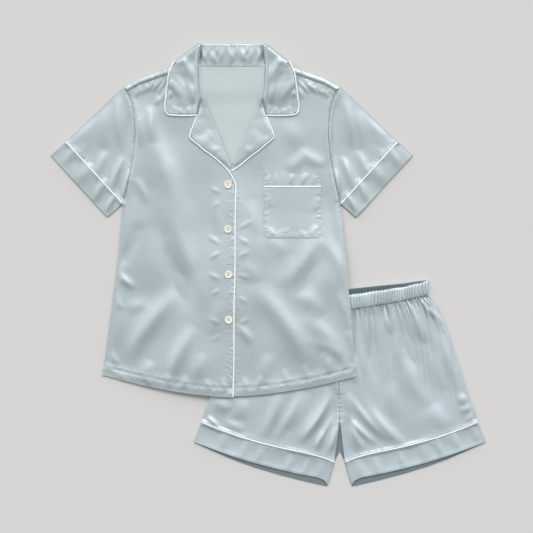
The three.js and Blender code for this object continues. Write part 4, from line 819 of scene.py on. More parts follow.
def collar_leaf(side):
    """Middle surface of a leaf: flat on the front, turned under in a half circle at its fold, then behind."""
    p = np.linspace(0.0, 1.0, 40)
    rows = curve(LEAF, 64)
    roll = rows[:, :2] + [CLOTH / 2, 0.0]
    plan = roll[:, None] + (rows[:, 2:] - roll)[:, None] * p[None, :, None]
    x, drop = plan[..., 0], plan[..., 1]
    base = leaf_level(side, x, drop)
    fade = ease(40.0, 60.0, drop)
    roll_ridge = 2.6 * bell(p - 0.06, 0.11)[None]
    crown = (1.1 * np.sin(np.pi * p)[None] ** 0.6 + LEAF_LIFT * ease(0.55, 1.0, p)[None]) * fade + roll_ridge
    crest = 2.6 * bell(distance(LEAF_FOLD, x, drop), 30.0)
    leaf_folds = fold_height(LEAF_FOLDS, x, drop) * ease(0.0, 0.15, p)[None]
    z = base + crown + crest + leaf_folds
    over = np.stack([x, drop, z], axis=-1)
    lip_z = np.where(rows[:, 1] > GORGE_DROP, z[:, 0] - 0.4, COLLAR_RISE + CLOTH + SEAM)
    lip_z = np.minimum(lip_z, z[:, 0] - 0.4)
    lip = np.stack([roll[:, 0] - 0.2, roll[:, 1], lip_z], axis=-1)
    grid = [np.concatenate([lip[:, None], over], axis=1)]
    flat_z = z[-1] - leaf_folds[-1]
    fold = LEAF_FOLD[0] + (LEAF_FOLD[1] - LEAF_FOLD[0]) * p[:, None]
    along = (LEAF_FOLD[1] - LEAF_FOLD[0]) / np.hypot(*(LEAF_FOLD[1] - LEAF_FOLD[0]))
    inward = np.array([-along[1], along[0]])
    top = leaf_level(side, fold[:, 0], fold[:, 1]) + 2.4 + 1.4 * bell(p - 0.06, 0.11)
    start = fold + inward * (CLOTH / 2 + (top - FALL_MIDDLE)[:, None] / 2)
    for part in np.linspace(0.0, 1.0, 20)[1:-1]:
        row = over[-1, :, :2] * (1 - part) + start * part
        bent = fold_height(LEAF_FOLDS, row[:, 0], row[:, 1]) * ease(0.0, 0.15, p) * (1 - part**3)
        level = flat_z + (top - flat_z) * ease(0.0, 1.0, part) + bent
        row = np.concatenate([row, level[:, None]], axis=1)
        grid.append(np.concatenate([[row[0] + [-1.6, 0.2, -1.6]], row])[None])
    for part in np.linspace(0.0, 1.0, 11):
        radius = (top - FALL_MIDDLE) / 2
        back = CLOTH / 2 + radius * (1 - np.sin(np.pi * part))
        z = FALL_MIDDLE + radius * (1 + np.cos(np.pi * part))
        row = np.concatenate([fold + inward * back[:, None], z[:, None]], axis=1)
        first = row[0] + [-1.6, 0.2, -1.6 * (1 - part)]
        grid.append(np.concatenate([[first], row])[None])
    turned = grid[-1][0]
    goal_drop = np.concatenate([[3.6], 5.0 + (FALL_EDGE[1] - EDGE_SET - 5.0) * p])
    goal = np.stack([np.full(41, FALL_EDGE[0] - 2.6), goal_drop, np.full(41, FALL_MIDDLE)], axis=1)
    for part in (0.25, 0.5, 0.75, 1.0):
        grid.append((turned + (goal - turned) * part)[None])
    middle = np.concatenate(grid)
    return placed(SHIRT, SIDES[side] * middle[..., 0], middle[..., 1], middle[..., 2])


STAND_FOLDS = np.array([
    (-60, 6, -50, 40, 9, 1.6, 2), (-44, 2, -52, 30, 6, 0.9, -1), (-40, 14, -28, 44, 11, 1.7, 3),
    (-27, 2, -30, 26, 6, 1.1, 0), (-16, 4, -22, 44, 9, 1.2, 2), (-8, 0, -2, 30, 5, 1.3, 1),
    (3, 8, -6, 46, 12, 1.4, -2), (12, 0, 9, 28, 5, 1.0, 0), (20, 6, 30, 40, 12, 1.8, 3),
    (33, 0, 26, 24, 6, 1.2, -1), (44, 4, 36, 44, 9, 1.3, 2), (50, 6, 56, 34, 6, 1.1, 0), (61, 10, 52, 42, 8, 1.2, 1),
])


def collar_back():
    """Behind the neck: the stand rises from the neck seam to its roll and the fall goes down behind it."""
    radius = (STAND_ROLL - FALL_MIDDLE) / 2
    seam_z = COLLAR_RISE + CLOTH / 2
    start = CLOTH / 2 + radius
    x = np.linspace(-FALL_EDGE[0] - 0.5, FALL_EDGE[0] + 0.5, 110)
    seam = BACK_NECK_DROP - 2 * SEAM + BACK_NECK_DIP * (1 - (x / NECK_X) ** 2)
    wave = (0.7 * np.sin(x / 6.3) + 0.5 * np.sin(x / 3.7 + 1.0)) * (1 - ease(50.0, 64.0, np.abs(x)))
    rows = []
    for part in np.linspace(0.0, 0.96, 22):
        drop = seam + (start - seam) * part
        rise = seam_z + (STAND_ROLL - seam_z) * part
        wrinkle = fold_height(STAND_FOLDS, x, drop) * np.sin(np.pi * (0.12 + 0.8 * part))
        corner = -2.6 * ease(52.0, 65.0, np.abs(x)) * np.sin(np.pi * (0.2 + 0.7 * part))
        z = rise + 0.5 * np.sin(np.pi * part) + wrinkle + corner
        rows.append(np.stack([x, drop - wave * part, z], axis=1))
    for part in np.linspace(0.0, 1.0, 9):
        drop = start - radius * np.sin(np.pi * part) - wave * (1 - part)
        z = np.full_like(x, FALL_MIDDLE + radius * (1 + np.cos(np.pi * part)))
        rows.append(np.stack([x, drop, z], axis=1))
    for part in (0.5, 1.0):
        drop = np.full_like(x, start + (FALL_EDGE[1] - EDGE_SET - start) * part)
        rows.append(np.stack([x, drop, np.full_like(x, FALL_MIDDLE)], axis=1))
    strip = np.stack(rows, axis=1)
    return placed(SHIRT, strip[..., 0], strip[..., 1], strip[..., 2])


def make_collar(materials):
    """The collar in one piece: the stand and fall behind the neck, and a leaf to each side."""
    body = Body()
    outline = [mirrored(LEAF_PIPING, side) for side in SIDES]
    seams = [(line, 0.9, 18.0) for line in outline] + [(np.array([(-66.0, 46.0), (66.0, 46.0)]), 0.6, 14.0)]
    leaves = [(collar_leaf(side), (30, 20)) for side in ("right", "left")]
    for middle, up_at in [(collar_back(), (50, 8)), *leaves]:
        outer, inner = shell(middle)
        if outer[up_at][2] < inner[up_at][2]:
            outer, inner = inner, outer
        run, pucker = seam_marks(seams, outer[..., 0] - SHIRT[0], SHIRT[1] - outer[..., 1])
        body.wall(outer, inner, run=run, pucker=pucker, matte_inside=False)
    return body.build("satin_collar", materials)


LEAF_PIPING = np.array([
    (69.6, 143.8), (84, 144.4), (98, 144.4), (112, 144), (122.6, 143.2), (128.6, 141), (132, 136.4), (133.6, 124.8),
    (131.8, 108), (130.2, 93), (128.2, 78), (126, 63), (121.6, 50), (118.2, 42.6),
])
LAPEL_PIPING = np.array([
    (70, 147.6), (76.6, 164), (82.8, 181), (84, 187), (77.4, 194.4), (66, 204), (55.4, 213.2), (44.4, 221.4),
    (33.8, 229.4), (22.6, 239),
])
RIGHT_EDGE_PIPING = np.array([
    (-12, 249), (-4.6, 258), (0.6, 267), (4.8, 274.6), (7.4, 283), (7.9, 296), (7.8, 311),
])
LEFT_PIPING_END = np.array([(14, 245.6), (6.6, 250.8), (0.4, 255.0)])
PLACKET_END = np.array([2.8, 706.0])


def collar_piping_path():
    """The collar's piping: round each leaf's edge, under at the fold and across behind the neck."""
    halves = []
    for side in SIDES:
        over = curve(LEAF_PIPING, 80)
        lift = LEAF_LIFT * ease(40.0, 60.0, over[:, 1]) * ease(70.0, 92.0, over[:, 0])
        z = leaf_level(side, over[:, 0], over[:, 1]) + PIPING_SEAT - CLOTH / 2 + lift
        top = leaf_level(side, *LEAF_FOLD[1]) + PIPING_SEAT - CLOTH / 2
        low = PIPING_RADIUS + 0.1
        radius = (top - low) / 2
        part = np.linspace(0.12, 0.88, 9)
        back = radius * (1 - np.sin(np.pi * part))
        turn_x = LEAF_FOLD[1][0] + 2.8 + np.where(part < 0.5, 0.4, -0.3) * back
        turn_drop = LEAF_FOLD[1][1] + 2.2 + 0.9 * back
        turn_z = low + radius * (1 + np.cos(np.pi * part))
        hidden = straight([FALL_OUT + [-2.0, 3.6], FALL_EDGE], [0.0, 0.33, 0.66])
        x = np.concatenate([over[:, 0], turn_x, hidden[:, 0]]) * SIDES[side]
        drop = np.concatenate([over[:, 1], turn_drop, hidden[:, 1]])
        halves.append(placed(SHIRT, x, drop, np.concatenate([z, turn_z, np.full(3, low)])))
    behind = placed(SHIRT, np.linspace(-1, 1, 7) * FALL_EDGE[0], FALL_EDGE[1], PIPING_RADIUS + 0.1)
    return np.concatenate([halves[0], behind, halves[1][::-1]])


def right_piping_path():
    """The right front's piping: round the lapel and on down the front edge to the hem."""
    over = curve([*(LAPEL_PIPING * [-1, 1]), *RIGHT_EDGE_PIPING], 120)
    level = lying(right_front, np.minimum(over[:, 0], 0.0), over[:, 1], 1.3)
    down = straight([RIGHT_EDGE_PIPING[-1], PLACKET_END], np.linspace(0.0, 1.0, 150)[1:])
    lower = lying(shirt_front, down[:, 0], down[:, 1], LYING_REACH)
    settle = LAYER * (1 - ease(0.0, 0.12, np.linspace(0.0, 1.0, 150)[1:]))
    level = level + LAPEL_LIFT * lapel_free(over[:, 1])
    z = np.concatenate([level, lower + settle]) + PIPING_SEAT + 0.2
    plan = np.concatenate([over, down])
    plan[:, 0] += 0.35 * np.sin(plan[:, 1] / 31.0)
    return placed(SHIRT, plan[:, 0], plan[:, 1], z)


def left_piping_path():
    """The left lapel's piping, whose lower end goes under the right front."""
    plan = curve([*LAPEL_PIPING, *LEFT_PIPING_END], 90)
    z = lying(shirt_front, plan[:, 0], plan[:, 1], 1.3) + PIPING_SEAT + 0.2
    z = z + LAPEL_LIFT * lapel_free(plan[:, 1])
    return placed(SHIRT, plan[:, 0], plan[:, 1], z)


def ring_path(line, columns, bed, front, garment):
    """A ring of piping round a flattened tube: over the front layer, round both sides and back beneath."""
    a, b = line(np.array([0.0, 1.0]))
    inset = PIPING_RADIUS / np.hypot(*(b - a))
    turn, gap = 2.3 * inset, 2.0 * inset
    half = np.linspace(0.5 - gap, 2 * turn, columns[1])
    over = np.linspace(2 * turn, 1 - 2 * turn, columns[0])
    t = np.concatenate([half, [turn, inset, turn], over, [1 - turn, 1 - inset, 1 - turn], 1 - half[::-1]])
    level_t = np.clip(t, turn, 1 - turn)
    flat = line(t)
    level = line(level_t)
    high = front(level[:, 0], level[:, 1]) + PIPING_SEAT
    low = bed(level[:, 0], level[:, 1]) + PIPING_RADIUS
    count = columns[1]
    share = np.concatenate([np.zeros(count + 1), [0.5], np.ones(len(over) + 2), [0.5], np.zeros(count + 1)])
    return placed(garment, flat[:, 0], flat[:, 1], low + (high - low) * share)


def make_shirt_piping(materials):
    """The shirt's piping: on the collar, both lapels, the right front's edge, both cuffs and the pocket."""
    generic = np.array([0.6, 0.4, 0.7])
    paths = {
        "piping_collar": (collar_piping_path(), generic, "collar_piping"),
        "piping_front_right": (right_piping_path(), np.array([0.0, 0.0, 1.0]), "front_piping_right"),
        "piping_lapel_left": (left_piping_path(), np.array([0.0, 0.0, 1.0]), "lapel_piping_left"),
    }
    for side in SIDES:
        line = lambda t, side=side: cuff_point(t, 0.0) * [SIDES[side], 1.0]
        path = ring_path(line, (110, 20), shirt_bed, shirt_front, SHIRT)
        way = np.array([SIDES[side] * CUFF_WAY[0], -CUFF_WAY[1], 0.0])
        paths[f"piping_cuff_{side}"] = (path, way, f"cuff_piping_{side}")
    pocket_x = np.linspace(POCKET["left"] + 1.0, POCKET["right"] - 1.0, 60)
    pocket_z = pocket_height(pocket_x, POCKET["piping"]) + PIPING_SEAT
    path = placed(SHIRT, pocket_x, np.full(60, POCKET["piping"]), pocket_z)
    paths["piping_pocket"] = (path, np.array([0.0, 0.0, 1.0]), "pocket_piping")
    pieces = []
    for name, (path, way, node) in paths.items():
        body = Body()
        tube(body, path, PIPING_RADIUS, way)
        piece = body.build(name, materials)
        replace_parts(piece, node)
        pieces.append(piece)
    return pieces


POCKET = {"left": 64.0, "right": 178.4, "top": 257.4, "piping": 286.6, "bottom": 388.6}
POCKET_CORNER_DEPTH = 8.0
POCKET_CORNER_SLANT = 0.7
POCKET_STITCH_SET = 3.0
POCKET_FOLDS = np.array([
    (76, 262, 70, 285, 6, 0.7, 1), (90, 258, 84, 285, 7, 0.6, -1), (104, 260, 100, 285, 5, 0.5, 1),
    (124, 258, 118, 285, 9, 1.2, 2), (152, 258, 140, 285, 11, 1.1, 2), (166, 262, 162, 285, 6, 0.5, 0),
    (72, 368, 88, 386, 12, 0.9, 0), (172, 362, 156, 386, 12, 0.9, 0), (68, 300, 84, 330, 18, 0.5, 1),
    (176, 306, 160, 340, 16, 0.7, -1), (90, 380, 120, 372, 10, 0.5, 0), (150, 384, 130, 374, 9, 0.5, 0),
])


def pocket_height(x, drop):
    """Underside of the pocket, lying on the left front."""
    return lying(shirt_front, x, drop, LYING_REACH)


def pocket_edge():
    """The pocket's outline round its two sides and its bottom, with cut corners."""
    left, right, bottom = POCKET["left"], POCKET["right"], POCKET["bottom"]
    cut = POCKET_CORNER_SLANT * POCKET_CORNER_DEPTH
    return np.array([
        (left, POCKET["top"]), (left, bottom - POCKET_CORNER_DEPTH), (left + cut, bottom),
        (right - cut, bottom), (right, bottom - POCKET_CORNER_DEPTH), (right, POCKET["top"]),
    ])


def make_pocket(materials):
    """The pocket below its piping and the band above: walls that crown a little inside their edge."""
    pieces = []
    edge = pocket_edge()
    inner_edge = edge + [(POCKET_STITCH_SET, 0), (POCKET_STITCH_SET, -1), (1.5, -POCKET_STITCH_SET),
                         (-1.5, -POCKET_STITCH_SET), (-POCKET_STITCH_SET, -1), (-POCKET_STITCH_SET, 0)]

    def height(x, drop):
        away = distance(edge, x, drop)
        soft = 0.7 * ease(0.0, 24.0, away) + fold_height(POCKET_FOLDS, x, drop) * ease(1.0, 6.0, away)
        return pocket_height(x, drop) + soft

    for name, top, bottom, rows, node in (
        ("satin_pocket", POCKET["piping"] + PIPING_ROOM, POCKET["bottom"], 64, "pocket"),
        ("satin_pocket_band", POCKET["top"], POCKET["piping"] - PIPING_ROOM, 22, "pocket_band"),
    ):
        drop = np.linspace(top, bottom, rows)
        cut = POCKET_CORNER_SLANT * np.maximum(drop - POCKET["bottom"] + POCKET_CORNER_DEPTH, 0.0)
        part = np.linspace(0.0, 1.0, 72)[None]
        x = POCKET["left"] + cut[:, None] + (POCKET["right"] - POCKET["left"] - 2 * cut[:, None]) * part
        plan = np.stack([x, np.broadcast_to(drop[:, None], x.shape)], axis=-1)
        run, pucker = seam_marks([(inner_edge, 1.0, 16.0)], plan[..., 0], plan[..., 1])
        body = Body()
        body.wall(*levels(SHIRT, plan, height), run=run, pucker=pucker)
        piece = body.build(name, materials)
        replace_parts(piece, node)
        pieces.append(piece)
    return pieces


BUTTONS = np.array([(-7.8, 282.2), (-7.8, 371.6), (-6.6, 462.4), (-6.4, 552.8)])
HOLE_REACH = 1.8
HOLE_RADIUS = 0.95
HOLE_DEPTH = 1.2


def button_seat(x, drop):
    """Underside of a button: a layer above the highest of the right front's points around its rim."""
    turn = np.linspace(0.0, 2 * np.pi, 24)
    rim = right_front(x + BUTTON_RADIUS * np.cos(turn), drop + BUTTON_RADIUS * np.sin(turn))
    return max(rim.max(), float(right_front(np.array(x), np.array(drop)))) + LAYER + 0.15


def button_profile(r):
    """Height of a button's face at a radius: a dished middle, a rounded rim and a soft outer edge."""
    part = r / BUTTON_RADIUS
    dish = 0.62 + 0.1 * ease(0.0, 0.62, part) + 0.28 * ease(0.6, 0.8, part)
    return BUTTON_THICKNESS * dish * np.sqrt(np.clip(1 - ((part - 0.82) / 0.19).clip(0, 1) ** 2, 0.12, 1))


def make_buttons(shell_material, thread_material):
    """Four buttons with their threads: a polar grid that dips into four holes, with a flat back."""
    pieces = []
    r = np.concatenate([np.linspace(0.0, 4.2, 30), np.linspace(4.4, BUTTON_RADIUS, 16)])
    turn = np.linspace(0.0, 2 * np.pi, 96, endpoint=False)
    u = r[:, None] * np.cos(turn)[None]
    v = r[:, None] * np.sin(turn)[None]
    nearest = np.hypot(np.abs(u) - HOLE_REACH, np.abs(v) - HOLE_REACH)
    solid = ease(HOLE_RADIUS * 0.75, HOLE_RADIUS * 1.15, nearest)
    z = button_profile(np.hypot(u, v)) - HOLE_DEPTH * (1 - solid)
    for number, (x, drop) in enumerate(BUTTONS, 1):
        seat = button_seat(x, drop)
        top = placed(SHIRT, x + u, drop + v, seat + z)
        low = placed(SHIRT, x + u * 0.97, drop + v * 0.97, seat + np.zeros_like(z))
        body = Body()
        body.wall(top[1:], low[1:], around=True, matte_inside=False)
        piece = body.build(f"ivory_button_{number}", [shell_material])
        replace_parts(piece, f"button_{number}")
        pieces.append(piece)
        stitch = Body()
        for offset in (-HOLE_REACH, HOLE_REACH):
            part = np.linspace(-1.0, 1.0, 13)
            for lane in (-0.32, 0.32):
                rise = seat + BUTTON_THICKNESS * 0.66 + 0.42 * (1 - part**4) - 0.9 * (np.abs(part) > 0.95)
                path = placed(SHIRT, x + part * HOLE_REACH, np.full(13, drop + offset + lane), rise)
                tube(stitch, path, 0.3, np.array([0.0, 0.0, 1.0]), sides=8)
        pieces.append(stitch.build(f"thread_button_{number}", [thread_material]))
    return pieces


# Outlines of the shorts. Rows without a side are the same, mirrored, on both sides.
WAIST_X = np.array([0, 18.4, 73, 129.2, 160, 170, 177])
BACK_TOP = np.array([18, 17.6, 12, 6.4, 1.6, 0.6, 1.4])
FRONT_TOP = np.array([30.8, 30.4, 21.8, 13.4, 6, 2.6, 1.6])
FRONT_LOW = np.array([60.6, 59.8, 51.4, 41.6, 34.6, 32, 31.4])
BAND_DEPTH = 29.0
RIB_PITCH = 5.4
RIB = 1.9
RIB_SOLID = 0.7
LEG_SIDE = np.array([
    (178.6, 33.6), (194, 52.8), (208, 80.8), (219, 111.6), (230, 148), (244, 190), (258, 232), (266.6, 254.8),
    (276, 283),
])
LEG_PIPING = np.array([
    (10.5, 365), (20, 359.6), (31, 355.4), (50, 350), (73, 344.6), (115.2, 336), (157.2, 325.6), (199.4, 313.4),
    (241.4, 298.4), (276.5, 283.6),
])
LEG_HEM_X = np.array([23.6, 31, 45, 87, 129.2, 171.2, 213.4, 255.4, 291.6])
HEM_FRONT = np.array([408.6, 400, 394.4, 386.4, 376.6, 365.6, 352.6, 337.4, 323.4])
HEM_BACK = np.array([412, 411, 408, 398, 386.8, 374.2, 359, 341, 323.8])
LEG_SEAM_SET = 0.6
FRONT_CROTCH = 280.0
BACK_CROTCH = 343.0
CENTRE_SET = 0.25
GATHERS_A_LEG = 12
GATHER_HEIGHT = 2.3
GATHER_FADE = 75.0
WAIST_RAISE = 0.9
WAIST_RAISE_FADE = 40.0
LEG_SIDE_LINES = [LEG_SIDE, np.array([(276, 283), (292, 323.6)])]
CROTCH_LINE = np.array([(0, 320), (6, 344), (24, 410)])
HEM_BAND_STITCH = 7.0
FINE_GATHERS = ((0.74, 0.7, 0.6), (0.49, 1.0, 2.2), (1.13, 0.5, 4.0), (0.29, 0.8, 1.1))


def at_waist(x, column):
    """A column of the waist's table at a distance from the centre."""
    return np.interp(np.abs(x), WAIST_X, column)


def fine_gathers(away, spread, below):
    """Narrow pleats below the waistband: three sine waves of uneven pitch that fade as exp(-below / 34)."""
    even = away / spread * 176.0
    total = sum(size * np.sin(rate * even + start) for rate, size, start in FINE_GATHERS)
    return total * (1.5 * np.exp(-below / 24.0) + 0.4 * np.exp(-below / 9.0))


def shorts_front(x, drop):
    """Underside of the shorts' front layer: gathers fan out below the waist and fade down the legs."""
    away = np.abs(x)
    below = np.maximum(drop - at_waist(away, FRONT_LOW), 0.0)
    edge = np.minimum.reduce([distance(line, away, drop) for line in LEG_SIDE_LINES])
    crotch = distance(CROTCH_LINE, away, drop)
    spread = np.interp(drop, np.append(30.0, LEG_SIDE[:, 1]), np.append(176.0, LEG_SIDE[:, 0]))
    drift = 0.04 * np.sin(away / 9.0) + 0.012 * np.sin(x / 31.0)
    phase = 2 * np.pi * GATHERS_A_LEG * (away / spread + drift)
    gather = GATHER_HEIGHT * np.exp(-below / GATHER_FADE) * (0.5 - 0.5 * np.cos(phase))
    gather += fine_gathers(away, spread, below)
    folds = fold_height(SHORTS_FOLDS, x, drop) + swell(x + 40.0, drop, 1.0)
    centre = -1.0 * bell(x, 4.0) * (drop < FRONT_CROTCH + 6.0)
    soft = gather * ease(0.0, 6.0, edge) + folds * ease(0.0, FOLD_REACH, edge) + centre
    raise_ = WAIST_RAISE * np.exp(-below / WAIST_RAISE_FADE)
    piping = ridge(distance(LEG_PIPING, away, drop), CUFF_RIDGE)
    rest = EDGE_RISE + np.minimum(puff(edge), puff(crotch))
    return LAYER + np.maximum(np.maximum(rest + soft + raise_, 0.45 * rest), piping)


def flat_bed(x, drop):
    """The table that the shorts' back layer lies on."""
    return np.zeros(np.broadcast(x, drop).shape)


def shorts_seams(side):
    """The seams that pucker the shorts' front: leg piping, centre, waistband and side."""
    line = mirrored(LEG_PIPING, side)
    waist = np.stack([SIDES[side] * WAIST_X, FRONT_LOW], axis=1)
    centre = np.array([(0.0, 62.0), (0.0, 283.0)])
    return [(line, 0.8, 20.0), (centre, 1.3, 16.0), (waist, 1.0, 30.0), (mirrored(LEG_SIDE, side), 0.4, 14.0)]


def leg_plan(side, layer, columns, rows):
    """Plan points of a leg's front or back: a patch from the waistband and centre to its piping."""
    crotch = FRONT_CROTCH if layer == "front" else BACK_CROTCH
    t = np.linspace(0.0, 1.0, columns)
    x = CENTRE_SET + (176.4 - CENTRE_SET) * t
    low = at_waist(x, FRONT_LOW) if layer == "front" else at_waist(x, BACK_TOP) + BAND_DEPTH
    top = np.stack([x, low + SEAM], axis=1)
    seam = LEG_PIPING - [0.0, PIPING_ROOM + LEG_SEAM_SET]
    seam[-1, 0] -= 2 * LEG_SEAM_SET
    bottom = straight(seam, t)
    down = np.linspace(0.0, 1.0, rows)
    outer = straight([(177.4, top[-1, 1]), *LEG_SIDE[1:-1], bottom[-1]], down)
    inner = straight([top[0], (CENTRE_SET, crotch), bottom[0]], down)
    outer[0] = top[-1]
    return patch(top, bottom, inner, outer, t, down) * [SIDES[side], 1.0]


def make_leg(side, layer, materials):
    """A leg's front or back panel: one wall over its plan points."""
    body = Body()
    if layer == "front":
        plan = leg_plan(side, layer, 150, 140)
        outer, inner = levels(SHORTS, plan, shorts_front)
        run, pucker = seam_marks(shorts_seams(side), plan[..., 0], plan[..., 1])
        body.wall(outer, inner, run=run, pucker=pucker)
    else:
        inner, outer = levels(SHORTS, leg_plan(side, layer, 40, 60), flat_bed)
        body.wall(outer, inner)
    return body.build(f"satin_shorts_{layer}_{side}", materials)


def rib_height(x):
    """Uneven ribs of the elastic: sharp troughs between rounded pleats, whose pitch drifts."""
    phase = 2 * np.pi * (x / RIB_PITCH + 0.33 * np.sin(x / 17.0) + 0.22 * np.sin(x / 7.3))
    size = 1.0 + 0.3 * np.sin(x / 11.0) + 0.2 * np.sin(x / 5.1)
    return RIB * size * np.abs(np.cos(phase / 2)) ** 0.7


def make_waistband(materials):
    """The waistband: a flattened ring with uneven ribs, held down along its two edges."""
    half = WAIST_X[-1]
    x = np.linspace(-half + FOLD_INSET, half - FOLD_INSET, 460)
    back_x = x[::4][::-1]
    front_rise = ELASTIC + RIB_SOLID + SEAM
    middle = (front_rise + ELASTIC) / 2
    outer, inner = [], []
    for part in np.linspace(0.0, 1.0, 21):
        held = (0.4 + 0.6 * ease(0.0, 0.16, part)) * (0.6 + 0.4 * ease(0.0, 0.12, 1.0 - part))
        front = at_waist(x, FRONT_TOP) * (1 - part) + at_waist(x, FRONT_LOW) * part
        front = front + 0.9 * np.sin(x / 6.1 + part) * (1 - part) * 0.5
        back = at_waist(back_x, BACK_TOP) + part * BAND_DEPTH
        side_front = FRONT_TOP[-1] * (1 - part) + FRONT_LOW[-1] * part
        side_drop = (side_front + BACK_TOP[-1] + part * BAND_DEPTH) / 2
        rib = rib_height(x + 1.3 * np.sin(3.1 * part + x / 23.0)) * held + 1.2 * np.sin(np.pi * part) ** 0.5
        rib = rib * (1.0 - 0.5 * (1.0 - ease(14.0, 34.0, x)))
        back_rib = rib_height(back_x * 1.03)
        stand = 4.2 * (1 - ease(0.0, 0.46, part)) * (1 - ease(120.0, 172.0, np.abs(back_x)))
        for rings, reach, front_z, back_z in (
            (outer, half, front_rise + ELASTIC + rib, stand),
            (inner, half - 0.9 * FOLD_INSET, np.full(len(x), front_rise), ELASTIC + back_rib + stand),
        ):
            plan_x = np.concatenate([[-reach], x, [reach], back_x])
            drop = np.concatenate([[side_drop], front, [side_drop], back])
            z = np.concatenate([[middle], front_z, [middle], back_z])
            rings.append(placed(SHORTS, plan_x, drop, z))
    body = Body()
    outer, inner = np.array(outer), np.array(inner)
    run = outer[..., 0] * MM
    body.wall(outer, inner, around=True, run=run, pucker=np.full(run.shape, 0.5))
    return body.build("satin_waistband", materials)


def make_hem_band(side, materials):
    """A hem band: a flattened ring below the leg's piping, its back layer longer than its front."""
    front_t, back_t = np.linspace(0.0, 1.0, 90), np.linspace(0.0, 1.0, 40)
    seam = LEG_PIPING + [0.0, PIPING_ROOM + LEG_SEAM_SET]
    outer, inner = [], []
    for part in np.linspace(0.0, 1.0, 24):
        layers = []
        for t, hem in ((front_t, HEM_FRONT), (back_t, HEM_BACK)):
            start = straight(seam, t)
            layers.append(start + (straight(np.stack([LEG_HEM_X, hem], axis=1), t) - start) * part)
        front, back = layers
        ends = [(front[i] + back[i]) / 2 for i in (0, -1)]
        for points in layers:
            points[0, 0] += FOLD_INSET
            points[-1, 0] -= FOLD_INSET
        mouth = np.sin(np.pi * np.clip(front_t * 1.04 - 0.02, 0.0, 1.0)) ** 0.5
        roll = (0.7 * ease(0.3, 1.0, part) ** 2 + 0.3 * bell((1 - part) * 40.0 - 3.0, 7.0)) * mouth
        rise = shorts_front(front[:, 0] * SIDES[side], front[:, 1]) + roll
        for rings, inset, up, down in ((outer, 0.0, CLOTH, 0.0), (inner, CLOTH, 0.0, CLOTH)):
            plan = np.concatenate([[ends[0] + [inset, 0]], front, [ends[1] - [inset, 0]], back[::-1]])
            z = np.concatenate([[LAYER], rise + up, [LAYER], np.full(len(back), down)])
            rings.append(placed(SHORTS, SIDES[side] * plan[:, 0], plan[:, 1], z))
    outer, inner = np.array(outer), np.array(inner)
    run, pucker = seam_marks([(mirrored(LEG_PIPING, side), 1.0, 22.0)], outer[..., 0] - SHORTS[0],
                             SHORTS[1] - outer[..., 1])
    body = Body()
    body.wall(outer, inner, around=True, run=run, pucker=pucker)
    return body.build(f"satin_hem_band_{side}", materials)


def make_leg_piping(side, materials):
    """The piping ring between a leg and its hem band."""
    line = lambda t: straight(mirrored(LEG_PIPING, side), t)
    body = Body()
    path = ring_path(line, (150, 30), flat_bed, shorts_front, SHORTS)
    tube(body, path, PIPING_RADIUS, np.array([0.35 * SIDES[side], 1.0, 0.0]))
    return body.build(f"piping_leg_{side}", materials)


def surface_path(garment, plan, height, lift):
    """World points along plan points on a surface, a little above it."""
    return placed(garment, plan[:, 0], plan[:, 1], height(plan[:, 0], plan[:, 1]) + lift)


def make_stitches(material):
    """Rows of stitches: the shirt's hem, the pocket's edge, the neck and the legs' hems."""
    up = np.array([0.0, 0.0, 1.0])
    pieces = []
    hem_x = {"right": np.linspace(-252.0, -1.0, 160), "left": np.linspace(4.0, 244.0, 150)}
    for side in SIDES:
        body = Body()
        height = FRONT_HEIGHTS[side]
        plan = np.stack([hem_x[side], hem_drop(hem_x[side]) - HEM_STITCH_SET], axis=1)
        stitch_row(body, surface_path(SHIRT, plan, height, CLOTH + 0.1), up)
        pieces.append(body.build(f"stitches_hem_{side}", [material]))
    body = Body()
    edge = pocket_edge()
    for set_in in (1.6, 4.6):
        line = edge + [(set_in, 0), (set_in, -set_in / 2), (set_in / 2, -set_in), (-set_in / 2, -set_in),
                       (-set_in, -set_in / 2), (-set_in, 0)]
        plan = straight(line, np.linspace(0.0, 1.0, 240))
        plan = plan[np.abs(plan[:, 1] - POCKET["piping"]) > 3.0]
        first = plan[plan[:, 1] > POCKET["piping"]]
        stitch_row(body, surface_path(SHIRT, first, pocket_height, CLOTH + 0.35), up)
    pieces.append(body.build("stitches_pocket", [material]))
    body = Body()
    x = np.linspace(-64.0, 64.0, 60)
    neck = np.stack([x, BACK_NECK_DROP + BACK_NECK_DIP * (1 - (x / NECK_X) ** 2) + 5.0], axis=1)
    stitch_row(body, surface_path(SHIRT, neck, shirt_bed, CLOTH + 0.1), up)
    pieces.append(body.build("stitches_neck", [material]))
    for side in SIDES:
        body = Body()
        t = np.linspace(0.0, 1.0, 90)
        front = straight(np.stack([LEG_HEM_X, HEM_FRONT], axis=1), t) - [0.0, HEM_BAND_STITCH]
        plan = front * [SIDES[side], 1.0]
        stitch_row(body, surface_path(SHORTS, plan[3:-3], shorts_front, CLOTH + 0.1), up)
        pieces.append(body.build(f"stitches_leg_{side}", [material]))
    return pieces


